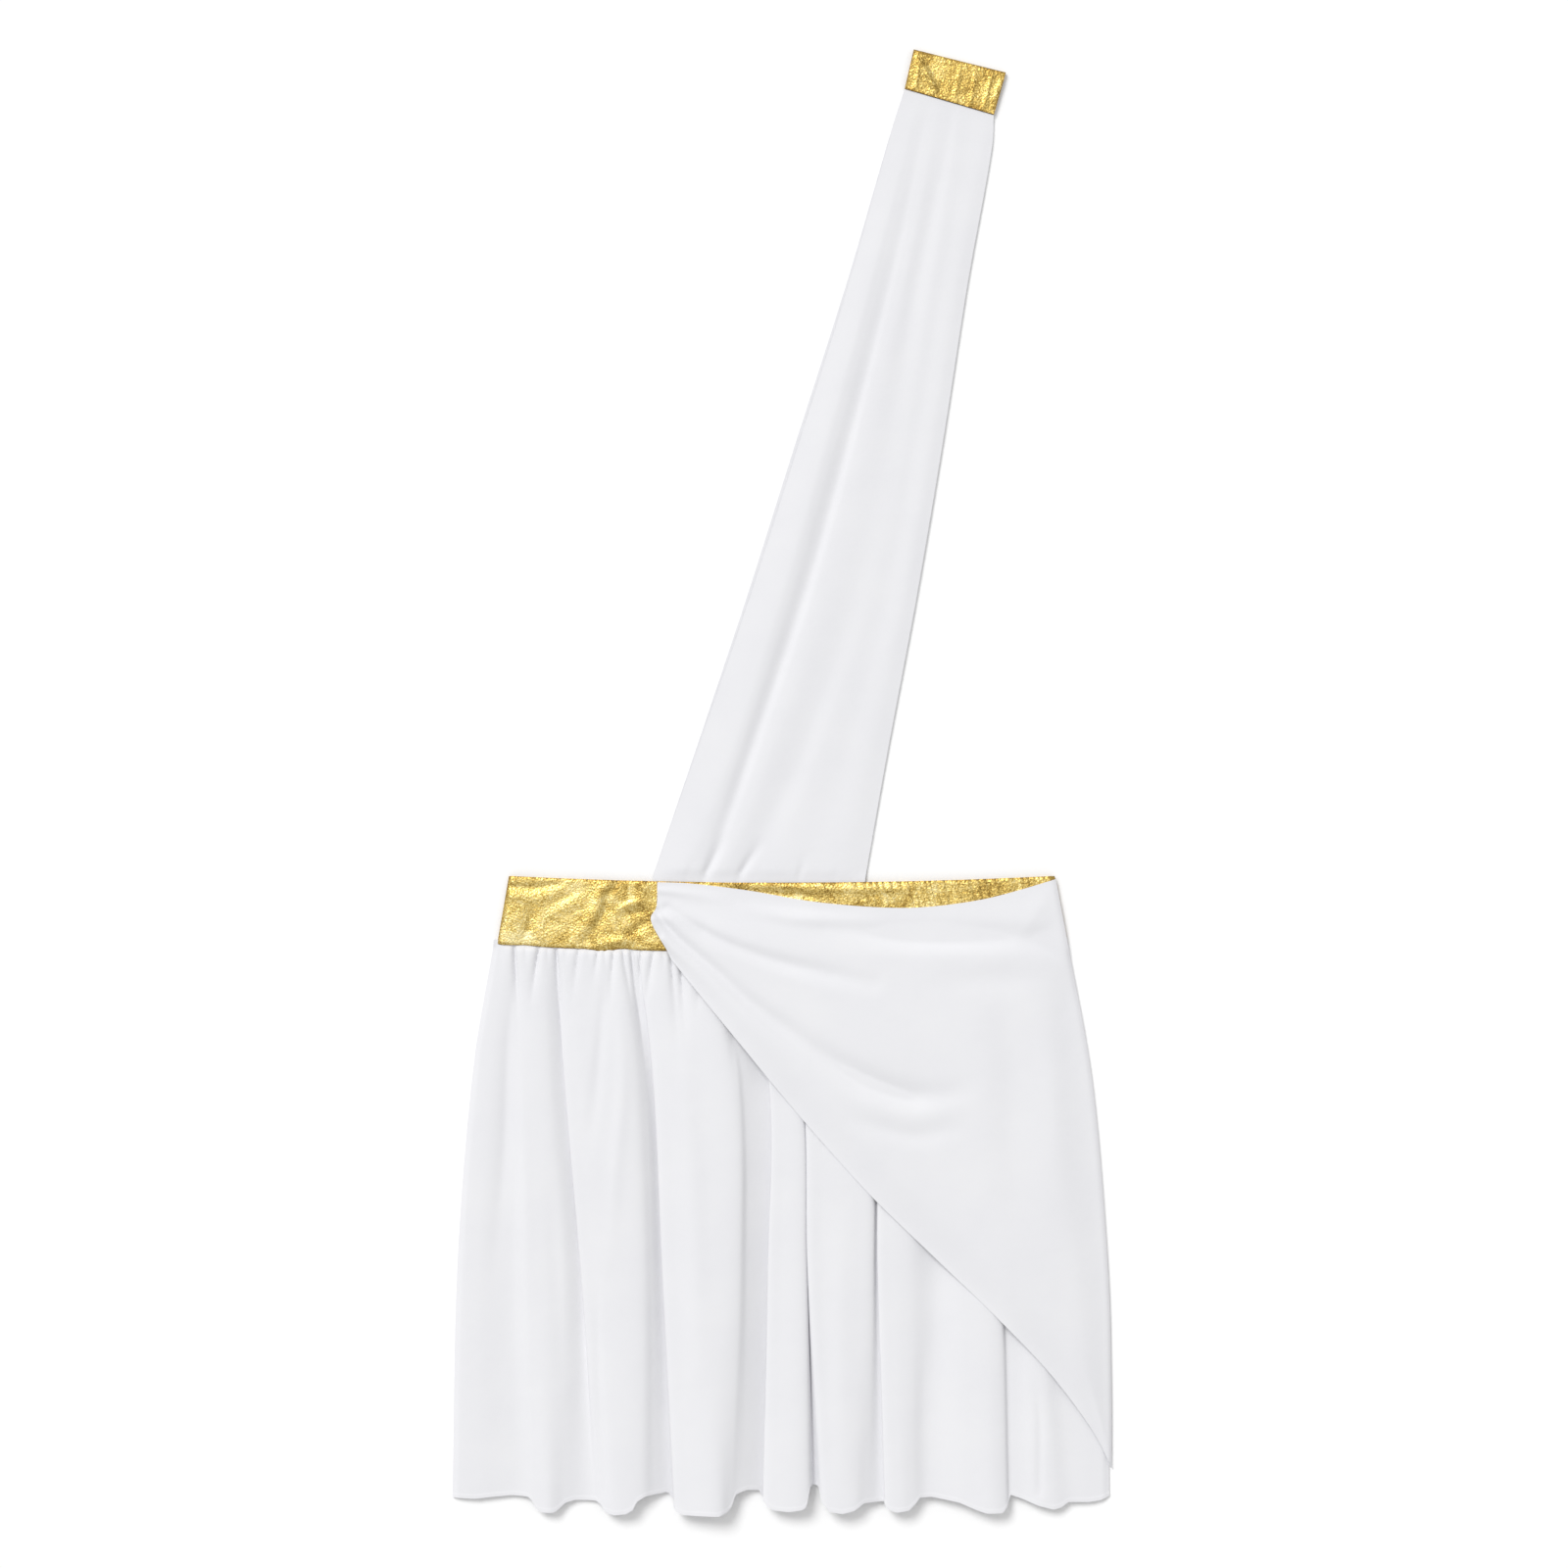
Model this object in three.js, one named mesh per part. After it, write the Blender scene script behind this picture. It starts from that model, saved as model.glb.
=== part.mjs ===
// Greek warrior costume: gathered skirt, gold waistband, side drape and one shoulder strap.
// It lies flat with its front up, front panels on back panels. Sizes are millimetres.
// X runs across the garment, Y from the hem to the shoulder, and Z up from the surface.
// Every piece is drawn from the middle of the waist seam. The outer group moves them all,
// so that the part's origin is in the middle of its box, on the surface.
import * as THREE from "three";

const { lerp, clamp, smoothstep } = THREE.MathUtils;

// Heights of the layers
const CLOTH_WALL = 1.2;
const BAND_WALL = 2.0;
const SHOULDER_WALL = 1.6;
const GAP = 0.3;
const SEAM_GAP = 0.4;
const BACK_MIDDLE = CLOTH_WALL / 2;
const FRONT_MIDDLE = CLOTH_WALL + GAP + CLOTH_WALL / 2;
const BAND_BACK_MIDDLE = BAND_WALL / 2;
const BAND_FRONT_MIDDLE = BAND_WALL + GAP + BAND_WALL / 2;

// Waistband, between the waist seam and its upper edge; both edges curve up at the sides
const WAIST_SEAM_HALF_WIDTH = 208.4;
const WAIST_SEAM_SIDE_RISE = 5.7;
const BAND_TOP_HALF_WIDTH = 199.8;
const BAND_HEIGHT = 50.4;
const BAND_TOP_SIDE_RISE = 5.0;
const BAND_COLUMNS = 46;
const BAND_ROWS = 4;

// The part's box reaches from the hem to the shoulder fold; the origin is half way
const WAIST_SEAM_FROM_ORIGIN = -124.7;

// Skirt
const SKIRT_DROP = 400;
const FOLD_STEP = 7;
const DENSE_ROW_COUNT = 4;
const SKIRT_ROW_DROPS = [0, 6, 14, 26, 48, 90, 140, 195, 250, 302, 346, 378, SKIRT_DROP];

// Waist gathers
const GATHER_PITCH = 8.3;
const GATHER_HEIGHT = 1.5;
const GATHER_REACH = 14;
const GATHER_REACH_CHANGE = 0.35;
const GATHER_REACH_PITCH = 17;
const GATHER_WANDER = 0.2;
const GATHER_WANDER_PITCH = 23;
const GATHER_SEAM_SHARE = 0.45;
const GATHER_SWELL_DROP = 6;
const GATHER_SIDE_FADE = 14;

// Each row is a line down the front of the skirt: along a crest, a valley or a crisp edge.
// X and the height above the back panel are given at the waist, hip, middle and hem.
const HIP_PLACE = 0.23;
const MIDDLE_PLACE = 0.584;
const FOLD_PLACES = [0, HIP_PLACE, MIDDLE_PLACE, 1];
const FOLD_COLUMNS = [
  "name", "waistX", "hipX", "middleX", "hemX", "waistZ", "hipZ", "middleZ", "hemZ", "hemY",
];
const FRONT_FOLDS = table(FOLD_COLUMNS, [
  ["side left", -211.5, -226.6, -238.1, -241.7, 0.2, 0, 0, 0, -400.3],
  ["roll left", -207.9, -221.6, -232.4, -236.0, 1.2, 3.5, 3.5, 2.5, -401.4],
  ["flat left", -200.0, -208.6, -214.4, -208.6, 1.2, 3.0, 2.2, 1.5, -399.6],
  ["rise A", -195.7, -200.0, -201.4, -184.1, 1.2, 3.6, 3.4, 2.6, -405.4],
  ["crest A", -191.3, -192.8, -189.2, -171.2, 1.3, 5.0, 6.5, 11.0, -410.4],
  ["fall A", -181.3, -178.4, -171.2, -158.9, 1.3, 3.8, 5.0, 6.0, -409.0],
  ["valley B", -166.1, -162.5, -153.9, -144.5, 0.6, 1.0, 1.0, 1.2, -401.8],
  ["rise B", -161.1, -157.5, -149.6, -133.0, 1.0, 3.6, 4.4, 4.5, -402.8],
  ["crest B", -149.6, -145.3, -138.1, -123.7, 1.3, 5.8, 7.2, 11.0, -411.8],
  ["shoulder B", -119.3, -118.6, -117.9, -112.1, 1.3, 7.0, 8.6, 11.6, -411.1],
  ["valley C", -110.0, -102.8, -99.2, -93.4, 0.5, 0.8, 0.8, 0.8, -396.7],
  ["under C", -105.7, -95.6, -86.9, -76.9, 0.6, 1.2, 1.4, 1.6, -397.4],
  ["edge C", -104.2, -96.3, -89.8, -79.7, 1.3, 4.4, 6.0, 7.5, -410.4],
  ["crest C", -97.0, -80.5, -68.9, -61.7, 1.5, 8.0, 12.0, 14.6, -411.8],
  ["back C", -77.6, -58.9, -50.2, -43.0, 1.3, 7.4, 10.6, 13.2, -411.8],
  ["valley D", -45.2, -31.5, -23.6, -25.0, 0.6, 1.6, 1.2, 0.8, -393.8],
  ["under D", -35.8, -12.8, -8.5, -11.3, 0.6, 1.8, 1.6, 1.6, -395.3],
  ["edge D", -34.4, -12.8, -10.6, -13.5, 1.3, 5.0, 7.0, 7.5, -407.5],
  ["crest D", -25.7, -2.7, 1.6, 3.1, 1.4, 8.0, 11.0, 13.6, -409.0],
  ["right D", -14.2, 9.5, 13.9, 18.9, 1.1, 6.0, 7.6, 8.0, -408.2],
  ["slit DE", -9.2, 13.9, 17.5, 24.7, 0.7, 2.4, 1.6, 0.8, -392.4],
  ["left E", -4.9, 18.9, 21.8, 31.1, 1.1, 5.4, 7.4, 8.0, -409.7],
  ["crest E", 3.8, 31.9, 37.6, 43.4, 1.4, 7.4, 11.0, 13.0, -410.4],
  ["back E", 18.9, 49.1, 55.6, 55.6, 1.3, 6.2, 9.6, 11.6, -410.4],
  ["valley EF", 36.2, 60.7, 65.0, 67.1, 0.7, 2.2, 1.4, 1.2, -402.5],
  ["edge F", 39.8, 65.7, 70.7, 77.2, 1.2, 4.6, 6.4, 7.6, -409.0],
  ["crest F", 47.0, 73.6, 80.8, 88.0, 1.4, 6.6, 9.8, 12.4, -409.7],
  ["valley G", 73.6, 101.0, 111.1, 108.2, 1.0, 3.6, 4.2, 3.2, -398.9],
  ["crest G", 102.4, 131.9, 145.6, 151.4, 1.4, 5.6, 8.8, 11.4, -409.0],
  ["edge G", 110.3, 142.7, 156.4, 165.1, 1.2, 4.2, 6.0, 7.0, -410.4],
  ["valley H", 115.4, 147.8, 164.3, 173.0, 0.8, 2.4, 1.8, 1.6, -398.2],
  ["crest H", 134.8, 167.9, 183.1, 196.0, 1.4, 4.4, 5.6, 8.4, -408.2],
  ["step H", 148.5, 180.2, 194.6, 211.9, 1.1, 3.0, 3.0, 3.2, -404.6],
  ["flat right", 174.4, 204.7, 219.1, 226.3, 1.2, 2.0, 2.0, 2.4, -403.9],
  ["roll right", 206.1, 221.2, 232.7, 234.9, 0.5, 0.5, 0.5, 1.8, -401.8],
  ["side right", 209.7, 226.3, 238.5, 240.3, 0.2, 0, 0, 0, -400.3],
]);

// Low folds of the back panel, under the crests of the front, where the cloth leaves the surface
const BACK_COLUMNS_ACROSS = 52;
const BACK_ROW_DROPS = [0, 100, 180, 260, 330, SKIRT_DROP];
const BACK_HEM_SIDE_DROP = 399.6;
const BACK_HEM_MIDDLE_DROP = 390.2;
const BACK_FOLD_START = 0.25;
const BACK_FOLDS = table(["name", "middleX", "hemX", "height", "halfWidth"], [
  ["back A", -189, -171, 1.5, 12],
  ["back B", -128, -118, 1.6, 13],
  ["back C", -66, -59, 2.0, 17],
  ["back D", 2, 3, 1.6, 12],
  ["back E", 40, 44, 1.6, 11],
  ["back F", 82, 89, 1.5, 11],
  ["back G", 143, 150, 1.5, 13],
]);

// Strap outline, from the waistband to the shoulder band
const STRAP_COLUMNS_ACROSS = 18;
const STRAP_ROWS = 16;
const STRAP_BACK_COLUMNS_ACROSS = 6;
const STRAP_BACK_ROWS = 12;
const STRAP_BACK_SHOW = 2.6;
const STRAP_PUFF = 3.0;
const STRAP_PUFF_POWER = 4;
const STRAP_BASE_LIFT = 0.9;
const STRAP_TOP_LIFT = 0.6;
const STRAP_END_FADE = 0.1;
const STRAP_PLACES = [0, 0.16, 0.36, 0.56, 0.76, 0.955, 1];
const STRAP_SECTIONS = table(["name", "leftX", "leftY", "rightX", "rightY"], [
  ["waistband", -95.6, 53.2, 60.7, 51.2],
  ["low", -63.2, 144.7, 77.2, 144.7],
  ["below middle", -23.6, 259.9, 98.8, 259.9],
  ["above middle", 13.1, 375.1, 118.3, 375.1],
  ["high", 49.1, 490.3, 136.3, 490.3],
  ["near shoulder", 81.5, 605.5, 154.3, 590.5],
  ["shoulder", 90.1, 633.3, 155.6, 614.2],
]);

// Shoulder band: a strip folded over, from its lower edge to the fold at the shoulder
const SHOULDER_COLUMNS_ACROSS = 12;
const SHOULDER_LEG_STEPS = 3;
const SHOULDER_TURN_STEPS = 4;
const SHOULDER_EDGE_LEFT = [90.2, 633.6];
const SHOULDER_EDGE_RIGHT = [155.7, 614.5];
const SHOULDER_FOLD_LEFT = [96.7, 661.6];
const SHOULDER_FOLD_RIGHT = [164.3, 644.7];

// Drape outline: gathered at a tuck on the waistband, and sewn in down the side
const DRAPE_COLUMNS_ACROSS = 27;
const DRAPE_ROWS = 18;
const DRAPE_COLUMN_POWER = 1.35;
const DRAPE_PUFF = 1.8;
const DRAPE_PUFF_EDGE = 22;
const DRAPE_UPPER_EDGE = [
  [-91.3, 51.1], [-70.4, 50.4], [-27.2, 45.4], [30.4, 36.0], [95.2, 32.4], [145.6, 38.2],
  [174.4, 45.4], [199.6, 53.3],
];
const DRAPE_LOWER_EDGE = [
  [-81.2, -5.0], [-63.9, -26.6], [-36.5, -59.8], [14.6, -121.7], [65.7, -178.6], [116.8, -228.2],
  [158.6, -268.6], [199.6, -312.5], [230.6, -355.7], [241.4, -378.7],
];
const DRAPE_TUCK_EDGE = [[-91.3, 51.1], [-92.0, 33.1], [-95.9, 24.5], [-84.1, 1.4], [-81.2, -5.0]];
const DRAPE_SIDE_EDGE = [
  [199.6, 53.3], [208.6, 4.0], [226.1, -93.0], [238.3, -237.0], [240.6, -310.0], [241.4, -378.7],
];

// Creases: a ridge, or a trough where the height is below zero, along a line on the cloth.
// Heights are given at the line's start, middle and end, and half widths at its two ends.
const CREASE_LINE_STEPS = 24;
const CREASE_COLUMNS = ["name", "start", "middle", "end", "startWidth", "endWidth", "line"];
const BAND_CREASES = table(CREASE_COLUMNS, [
  ["side ridge", 0.5, 0.9, 0.4, 6, 6, [[-194, 50], [-195, 30], [-196, 8]]],
  ["side trough", -0.3, -0.5, -0.2, 4, 4, [[-184, 48], [-183, 30], [-185, 10]]],
  ["long ridge", 0.4, 1.0, 0.3, 4, 6, [[-129, 48], [-137, 32], [-143, 20], [-151, 12]]],
  ["long trough", -0.4, -0.6, -0.2, 3, 4, [[-122, 49], [-130, 32], [-135, 22], [-143, 13]]],
  ["short ridge", 0.3, 0.9, 0.3, 4, 4, [[-120, 41], [-112, 35], [-105, 29]]],
  ["tuck trough", -0.2, -0.7, -0.4, 5, 5, [[-114, 26], [-105, 19], [-96, 11]]],
  ["seam ridge", 0.3, 0.8, 0.3, 5, 4, [[-133, 8], [-122, 5], [-110, 5]]],
  ["far ridge", 0.3, 0.6, 0.3, 5, 7, [[-172, 44], [-166, 30], [-158, 20]]],
]);
const STRAP_CREASES = table(CREASE_COLUMNS, [
  ["main valley", -2.4, -2.6, -1.0, 8, 9,
    [[-56.7, 56.2], [-42.3, 100.1], [-18.5, 190.1], [28.3, 332.6], [65.0, 478.1], [98.8, 555.1]]],
  ["main crest", 0.8, 3.0, 0.8, 11, 12,
    [[-45.2, 60], [-28, 110], [9.5, 202.3], [28, 280], [50, 340], [78, 430]]],
  ["inner valley", -1.2, -1.6, 0, 7, 9, [[-30.8, 56.2], [-18.5, 88.6], [-2.0, 131.0], [14.6, 166.3]]],
  ["inner crest", 1.2, 1.8, 0, 7, 12, [[-8, 56], [2, 90], [18, 140], [34, 190]]],
  ["side crest", 0.6, 1.8, 0.6, 12, 12, [[66, 130], [84, 240], [104, 350], [124, 480], [140, 570]]],
  ["left crest", 0.6, 1.6, 0.4, 9, 9, [[-74, 80], [-46, 165], [-8, 275], [30, 385], [62, 480]]],
]);
const DRAPE_CREASES = table(CREASE_COLUMNS, [
  ["long sag", -1.2, -3.0, -0.6, 4, 12,
    [[-90.5, 29.5], [-55.3, 6.5], [-3.4, -37.4], [47.7, -75.6], [99.5, -98.6], [140.6, -91.4]]],
  ["long crest", 0.6, 3.0, 0.8, 6, 13, [[-62, -4], [-10, -56], [40, -93], [85, -114], [128, -112]]],
  ["second sag", -0.4, -1.8, -0.4, 8, 9,
    [[37.6, -113.0], [60.7, -126.0], [99.5, -134.5], [134.1, -124]]],
  ["upper sag", -0.8, -1.8, 0, 6, 10,
    [[-70.4, 25.9], [-16.4, 3.6], [22.5, -6.5], [60.7, -18.0], [102.4, -28.1]]],
  ["upper crest", 1.0, 2.4, 0, 6, 14, [[-72, 34], [-16, 16], [34, 4], [74, -6], [118, -14]]],
  ["top sag", -0.6, -1.6, -0.4, 5, 8, [[-70.4, 42.5], [-8.5, 30], [47.7, 22.5], [124.7, 13.0], [196, 17]]],
  ["side trough", -0.2, -1.2, -0.2, 12, 16, [[167.2, -2.9], [170.8, -92.9], [170.8, -236.9]]],
  ["first pleat", 2.4, 1.6, 0, 3, 8, [[-90, 46], [-66, 44], [-34, 38]]],
  ["second pleat", 2.6, 1.8, 0, 3, 8, [[-90, 37], [-66, 33], [-34, 24]]],
  ["third pleat", 2.8, 1.8, 0, 3, 8, [[-93, 25], [-70, 15], [-42, -3]]],
  ["fourth pleat", 2.2, 1.6, 0, 3, 7, [[-87, 12], [-68, -3], [-46, -26]]],
  ["fifth pleat", 1.8, 1.2, 0, 3, 7, [[-83, 2], [-68, -15], [-50, -38]]],
]);
const SHOULDER_CREASES = table(CREASE_COLUMNS, [
  ["left ridge", 0.5, 0.8, 0.3, 3, 3, [[101, 659], [102, 646], [104, 634]]],
  ["left trough", -0.2, -0.4, -0.2, 3, 3, [[108, 657], [109, 644], [110, 632]]],
  ["middle ridge", 0.3, 0.7, 0.4, 3, 3, [[122, 652], [121, 640], [119, 630]]],
  ["right ridge", 0.3, 0.6, 0.3, 3, 3, [[146, 645], [144, 634], [141, 624]]],
]);

// What lies over other cloth keeps this far from the highest of it nearby
const RELIEF_CELL = 4;
const RELIEF_SPREAD_X = 3;
const RELIEF_SPREAD_Y = 3;
const RELIEF_SAMPLES = 4;
const RELIEF_LIMITS = { left: -260, right: 260, bottom: -430, top: 90 };

const whiteCloth = { color: 0xeeeef0, roughness: 0.85, metalness: 0, side: THREE.DoubleSide };
const goldFoil = { color: 0xd9ab3f, roughness: 0.36, metalness: 0.8, side: THREE.DoubleSide };

// Rows of a table as objects, with a field for each named column
function table(columns, lines) {
  return lines.map((line) => Object.fromEntries(columns.map((column, i) => [column, line[i]])));
}

// Value at a place on the smooth line through known values at known places
function through(places, values, place) {
  const last = places.length - 1;
  let i = 0;
  while (i < last - 1 && place > places[i + 1]) {
    i += 1;
  }
  const slopeAt = (k) => {
    const before = Math.max(0, k - 1);
    const after = Math.min(last, k + 1);
    return (values[after] - values[before]) / (places[after] - places[before]);
  };
  const span = places[i + 1] - places[i];
  const t = (place - places[i]) / span;
  const swing = t * (1 - t) * span * lerp(slopeAt(i), -slopeAt(i + 1), t);
  const ease = smoothstep(t, 0, 1);
  return lerp(values[i], values[i + 1], ease) + swing;
}

function flatCurve(points) {
  const places = points.map(([x, y]) => new THREE.Vector3(x, y, 0));
  return new THREE.CatmullRomCurve3(places, false, "centripetal");
}

// Sum of the lifts that a list of creases gives to a place on the cloth
function creaseField(creases) {
  const lines = creases.map((crease) => ({
    ...crease,
    points: flatCurve(crease.line).getSpacedPoints(CREASE_LINE_STEPS),
  }));
  return (x, y) => lines.reduce((sum, crease) => sum + creaseLift(crease, x, y), 0);
}

function creaseLift(crease, x, y) {
  let nearest = Infinity;
  let along = 0;
  crease.points.forEach((point, i) => {
    const distance = Math.hypot(point.x - x, point.y - y);
    if (distance < nearest) {
      nearest = distance;
      along = i / CREASE_LINE_STEPS;
    }
  });
  const height = through([0, 0.5, 1], [crease.start, crease.middle, crease.end], along);
  const width = lerp(crease.startWidth, crease.endWidth, along);
  return height * Math.exp(-((nearest / width) ** 2));
}

// Triangles between two rows of points, where the first may have twice the second's spaces
function joinRows(first, second, emit) {
  if (first.length === second.length) {
    for (let c = 0; c < first.length - 1; c += 1) {
      emit(first[c], second[c], second[c + 1]);
      emit(first[c], second[c + 1], first[c + 1]);
    }
    return;
  }
  for (let c = 0; c < second.length - 1; c += 1) {
    const middle = first[2 * c + 1];
    emit(first[2 * c], second[c], middle);
    emit(middle, second[c], second[c + 1]);
    emit(middle, second[c + 1], first[2 * c + 2]);
  }
}

// Point numbers round the edge of a grid, anticlockwise from above
function rimOf(grid) {
  const lastRow = grid[grid.length - 1];
  const down = grid.map((row) => row[0]);
  const up = grid.map((row) => row[row.length - 1]).reverse();
  return [...down, ...lastRow.slice(1), ...up.slice(1), ...grid[0].slice(1, -1).reverse()];
}

// One closed wall between an upper and a lower face, each a list of rows of points
function closedWall(name, { upper, lower }, finish) {
  const positions = [];
  const triangles = [];
  const addRow = (row) => row.map((point) => {
    positions.push(point.x, point.y, point.z);
    return positions.length / 3 - 1;
  });
  const top = upper.map(addRow);
  const bottom = lower.map(addRow);
  for (let r = 0; r < top.length - 1; r += 1) {
    joinRows(top[r], top[r + 1], (a, b, c) => triangles.push(a, b, c));
    joinRows(bottom[r], bottom[r + 1], (a, b, c) => triangles.push(a, c, b));
  }
  const topRim = rimOf(top);
  const bottomRim = rimOf(bottom);
  topRim.forEach((here, i) => {
    const next = (i + 1) % topRim.length;
    triangles.push(here, bottomRim[i], bottomRim[next]);
    triangles.push(here, bottomRim[next], topRim[next]);
  });
  const geometry = new THREE.BufferGeometry();
  geometry.setAttribute("position", new THREE.Float32BufferAttribute(positions, 3));
  geometry.setIndex(triangles);
  geometry.computeVertexNormals();
  const mesh = new THREE.Mesh(geometry, new THREE.MeshStandardMaterial(finish));
  mesh.name = name;
  return mesh;
}

// Upper and lower faces of a wall whose middle is a grid of points
function thicken(grid, wall) {
  const pointNear = (r, c) => {
    const row = grid[clamp(r, 0, grid.length - 1)];
    return row[clamp(c, 0, row.length - 1)];
  };
  const offset = (point, r, c, distance) => {
    const across = pointNear(r, c + 1).clone().sub(pointNear(r, c - 1));
    const down = pointNear(r + 1, c).clone().sub(pointNear(r - 1, c));
    return down.cross(across).normalize().multiplyScalar(distance).add(point);
  };
  const face = (distance) => grid.map((row, r) => row.map((point, c) => offset(point, r, c, distance)));
  return { upper: face(wall / 2), lower: face(-wall / 2) };
}

// Middle points of a wall, by row and column, from a function of the shares down and across
function gridOf(rowCount, columnCount, pointAt) {
  const steps = (count) => Array.from({ length: count + 1 }, (_, i) => i / count);
  return steps(rowCount).map((down) => steps(columnCount).map((across) => pointAt(down, across)));
}

function waistSeamY(x) {
  return WAIST_SEAM_SIDE_RISE * (x / WAIST_SEAM_HALF_WIDTH) ** 2;
}

function bandTopY(x) {
  return BAND_HEIGHT + BAND_TOP_SIDE_RISE * (x / BAND_TOP_HALF_WIDTH) ** 2;
}

// Lift of the small gathers at a place along the waist and a drop below it
function gatherLift(x, drop) {
  const turns = x / GATHER_PITCH + GATHER_WANDER * Math.sin(x / GATHER_WANDER_PITCH);
  const wave = (1 + Math.cos(2 * Math.PI * turns)) / 2;
  const reach = GATHER_REACH * (1 + GATHER_REACH_CHANGE * Math.sin(x / GATHER_REACH_PITCH));
  const swell = (GATHER_SEAM_SHARE + drop / GATHER_SWELL_DROP) * Math.exp(-drop / reach);
  const sideFade = smoothstep(WAIST_SEAM_HALF_WIDTH - Math.abs(x), 0, GATHER_SIDE_FADE);
  return GATHER_HEIGHT * wave * swell * sideFade;
}

function foldAt(fold, share) {
  return {
    x: through(FOLD_PLACES, [fold.waistX, fold.hipX, fold.middleX, fold.hemX], share),
    z: through(FOLD_PLACES, [fold.waistZ, fold.hipZ, fold.middleZ, fold.hemZ], share),
  };
}

// Number of mesh columns between one fold line and the next, from the widest that they part
function columnsBetween(fold, next) {
  const widths = FOLD_PLACES.map((share) => {
    const here = foldAt(fold, share);
    const there = foldAt(next, share);
    return Math.hypot(there.x - here.x, there.z - here.z);
  });
  return Math.max(1, Math.round(Math.max(...widths) / FOLD_STEP));
}

// Places across the skirt, as fold numbers with a fraction, twice as close as FOLD_STEP
function foldColumns() {
  const places = [0];
  for (let i = 0; i < FRONT_FOLDS.length - 1; i += 1) {
    const count = 2 * columnsBetween(FRONT_FOLDS[i], FRONT_FOLDS[i + 1]);
    for (let k = 1; k <= count; k += 1) {
      places.push(i + k / count);
    }
  }
  return places;
}

function skirtFrontGrid() {
  const columns = foldColumns();
  const lastFold = FRONT_FOLDS.length - 1;
  const foldNumbers = FRONT_FOLDS.map((_, i) => i);
  const hemDrops = FRONT_FOLDS.map((fold) => -fold.hemY);
  return SKIRT_ROW_DROPS.map((rowDrop) => {
    const share = rowDrop / SKIRT_DROP;
    const keys = FRONT_FOLDS.map((fold) => foldAt(fold, share));
    const section = new THREE.CatmullRomCurve3(
      keys.map((key) => new THREE.Vector3(key.x, 0, key.z)), false, "centripetal",
    );
    return columns.map((place) => {
      const { x, z } = section.getPoint(place / lastFold);
      const seamY = waistSeamY(x) - SEAM_GAP;
      const y = lerp(seamY, -through(foldNumbers, hemDrops, place), share);
      return new THREE.Vector3(x, y, FRONT_MIDDLE + z + gatherLift(x, rowDrop));
    });
  });
}

// Every second column is left out below the waist gathers
function thinBelowGathers(face) {
  return face.map((row, r) => (r < DENSE_ROW_COUNT ? row : row.filter((_, c) => c % 2 === 0)));
}

function makeSkirtFront(grid) {
  const { upper, lower } = thicken(grid, CLOTH_WALL);
  const faces = { upper: thinBelowGathers(upper), lower: thinBelowGathers(lower) };
  return closedWall("skirt_front", faces, whiteCloth);
}

function backFoldLift(x, share) {
  const growth = smoothstep(share, BACK_FOLD_START, 1);
  return BACK_FOLDS.reduce((sum, fold) => {
    const slope = (fold.hemX - fold.middleX) / (1 - MIDDLE_PLACE);
    const centre = fold.hemX - slope * (1 - share);
    const away = clamp((x - centre) / fold.halfWidth, -1, 1);
    return sum + fold.height * growth * Math.cos((Math.PI / 2) * away) ** 2;
  }, 0);
}

function makeSkirtBack() {
  const sideLeft = FRONT_FOLDS[0];
  const sideRight = FRONT_FOLDS[FRONT_FOLDS.length - 1];
  const grid = BACK_ROW_DROPS.map((rowDrop) => {
    const share = rowDrop / SKIRT_DROP;
    const left = foldAt(sideLeft, share).x;
    const right = foldAt(sideRight, share).x;
    return Array.from({ length: BACK_COLUMNS_ACROSS + 1 }, (_, c) => {
      const across = c / BACK_COLUMNS_ACROSS;
      const x = lerp(left, right, across);
      const fromMiddle = (2 * across - 1) ** 2;
      const hemY = -lerp(BACK_HEM_MIDDLE_DROP, BACK_HEM_SIDE_DROP, fromMiddle);
      const y = lerp(waistSeamY(x) - SEAM_GAP, hemY, share);
      return new THREE.Vector3(x, y, BACK_MIDDLE + backFoldLift(x, share));
    });
  });
  return closedWall("skirt_back", thicken(grid, CLOTH_WALL), whiteCloth);
}

function bandPoint(down, across, z) {
  const halfWidth = lerp(BAND_TOP_HALF_WIDTH, WAIST_SEAM_HALF_WIDTH, down);
  const x = lerp(-halfWidth, halfWidth, across);
  return new THREE.Vector3(x, lerp(bandTopY(x), waistSeamY(x), down), z);
}

function makeWaistbandBack() {
  const grid = gridOf(1, BAND_COLUMNS / 2, (down, across) => bandPoint(down, across, BAND_BACK_MIDDLE));
  return closedWall("waistband_back", thicken(grid, BAND_WALL), goldFoil);
}

// The front of the waistband has a flat underside, and its wrinkles are in its upper face
function waistbandFrontFaces() {
  const lift = creaseField(BAND_CREASES);
  const upper = gridOf(BAND_ROWS, BAND_COLUMNS, (down, across) => {
    const point = bandPoint(down, across, BAND_FRONT_MIDDLE + BAND_WALL / 2);
    point.z += lift(point.x, point.y);
    return point;
  });
  const underside = BAND_FRONT_MIDDLE - BAND_WALL / 2;
  const lower = gridOf(BAND_ROWS, BAND_COLUMNS, (down, across) => bandPoint(down, across, underside));
  return { upper, lower };
}

// Point on the strap, from its foot at the waistband to the shoulder
function strapPoint(rise, across, leftShow) {
  const at = (field) => through(STRAP_PLACES, STRAP_SECTIONS.map((section) => section[field]), rise);
  const x = lerp(at("leftX") - leftShow, at("rightX"), across);
  const footY = bandTopY(x) + GAP;
  const edgeY = lerp(at("leftY"), at("rightY"), across);
  const y = rise === 0 ? footY : edgeY;
  return new THREE.Vector3(x, y, 0);
}

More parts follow.
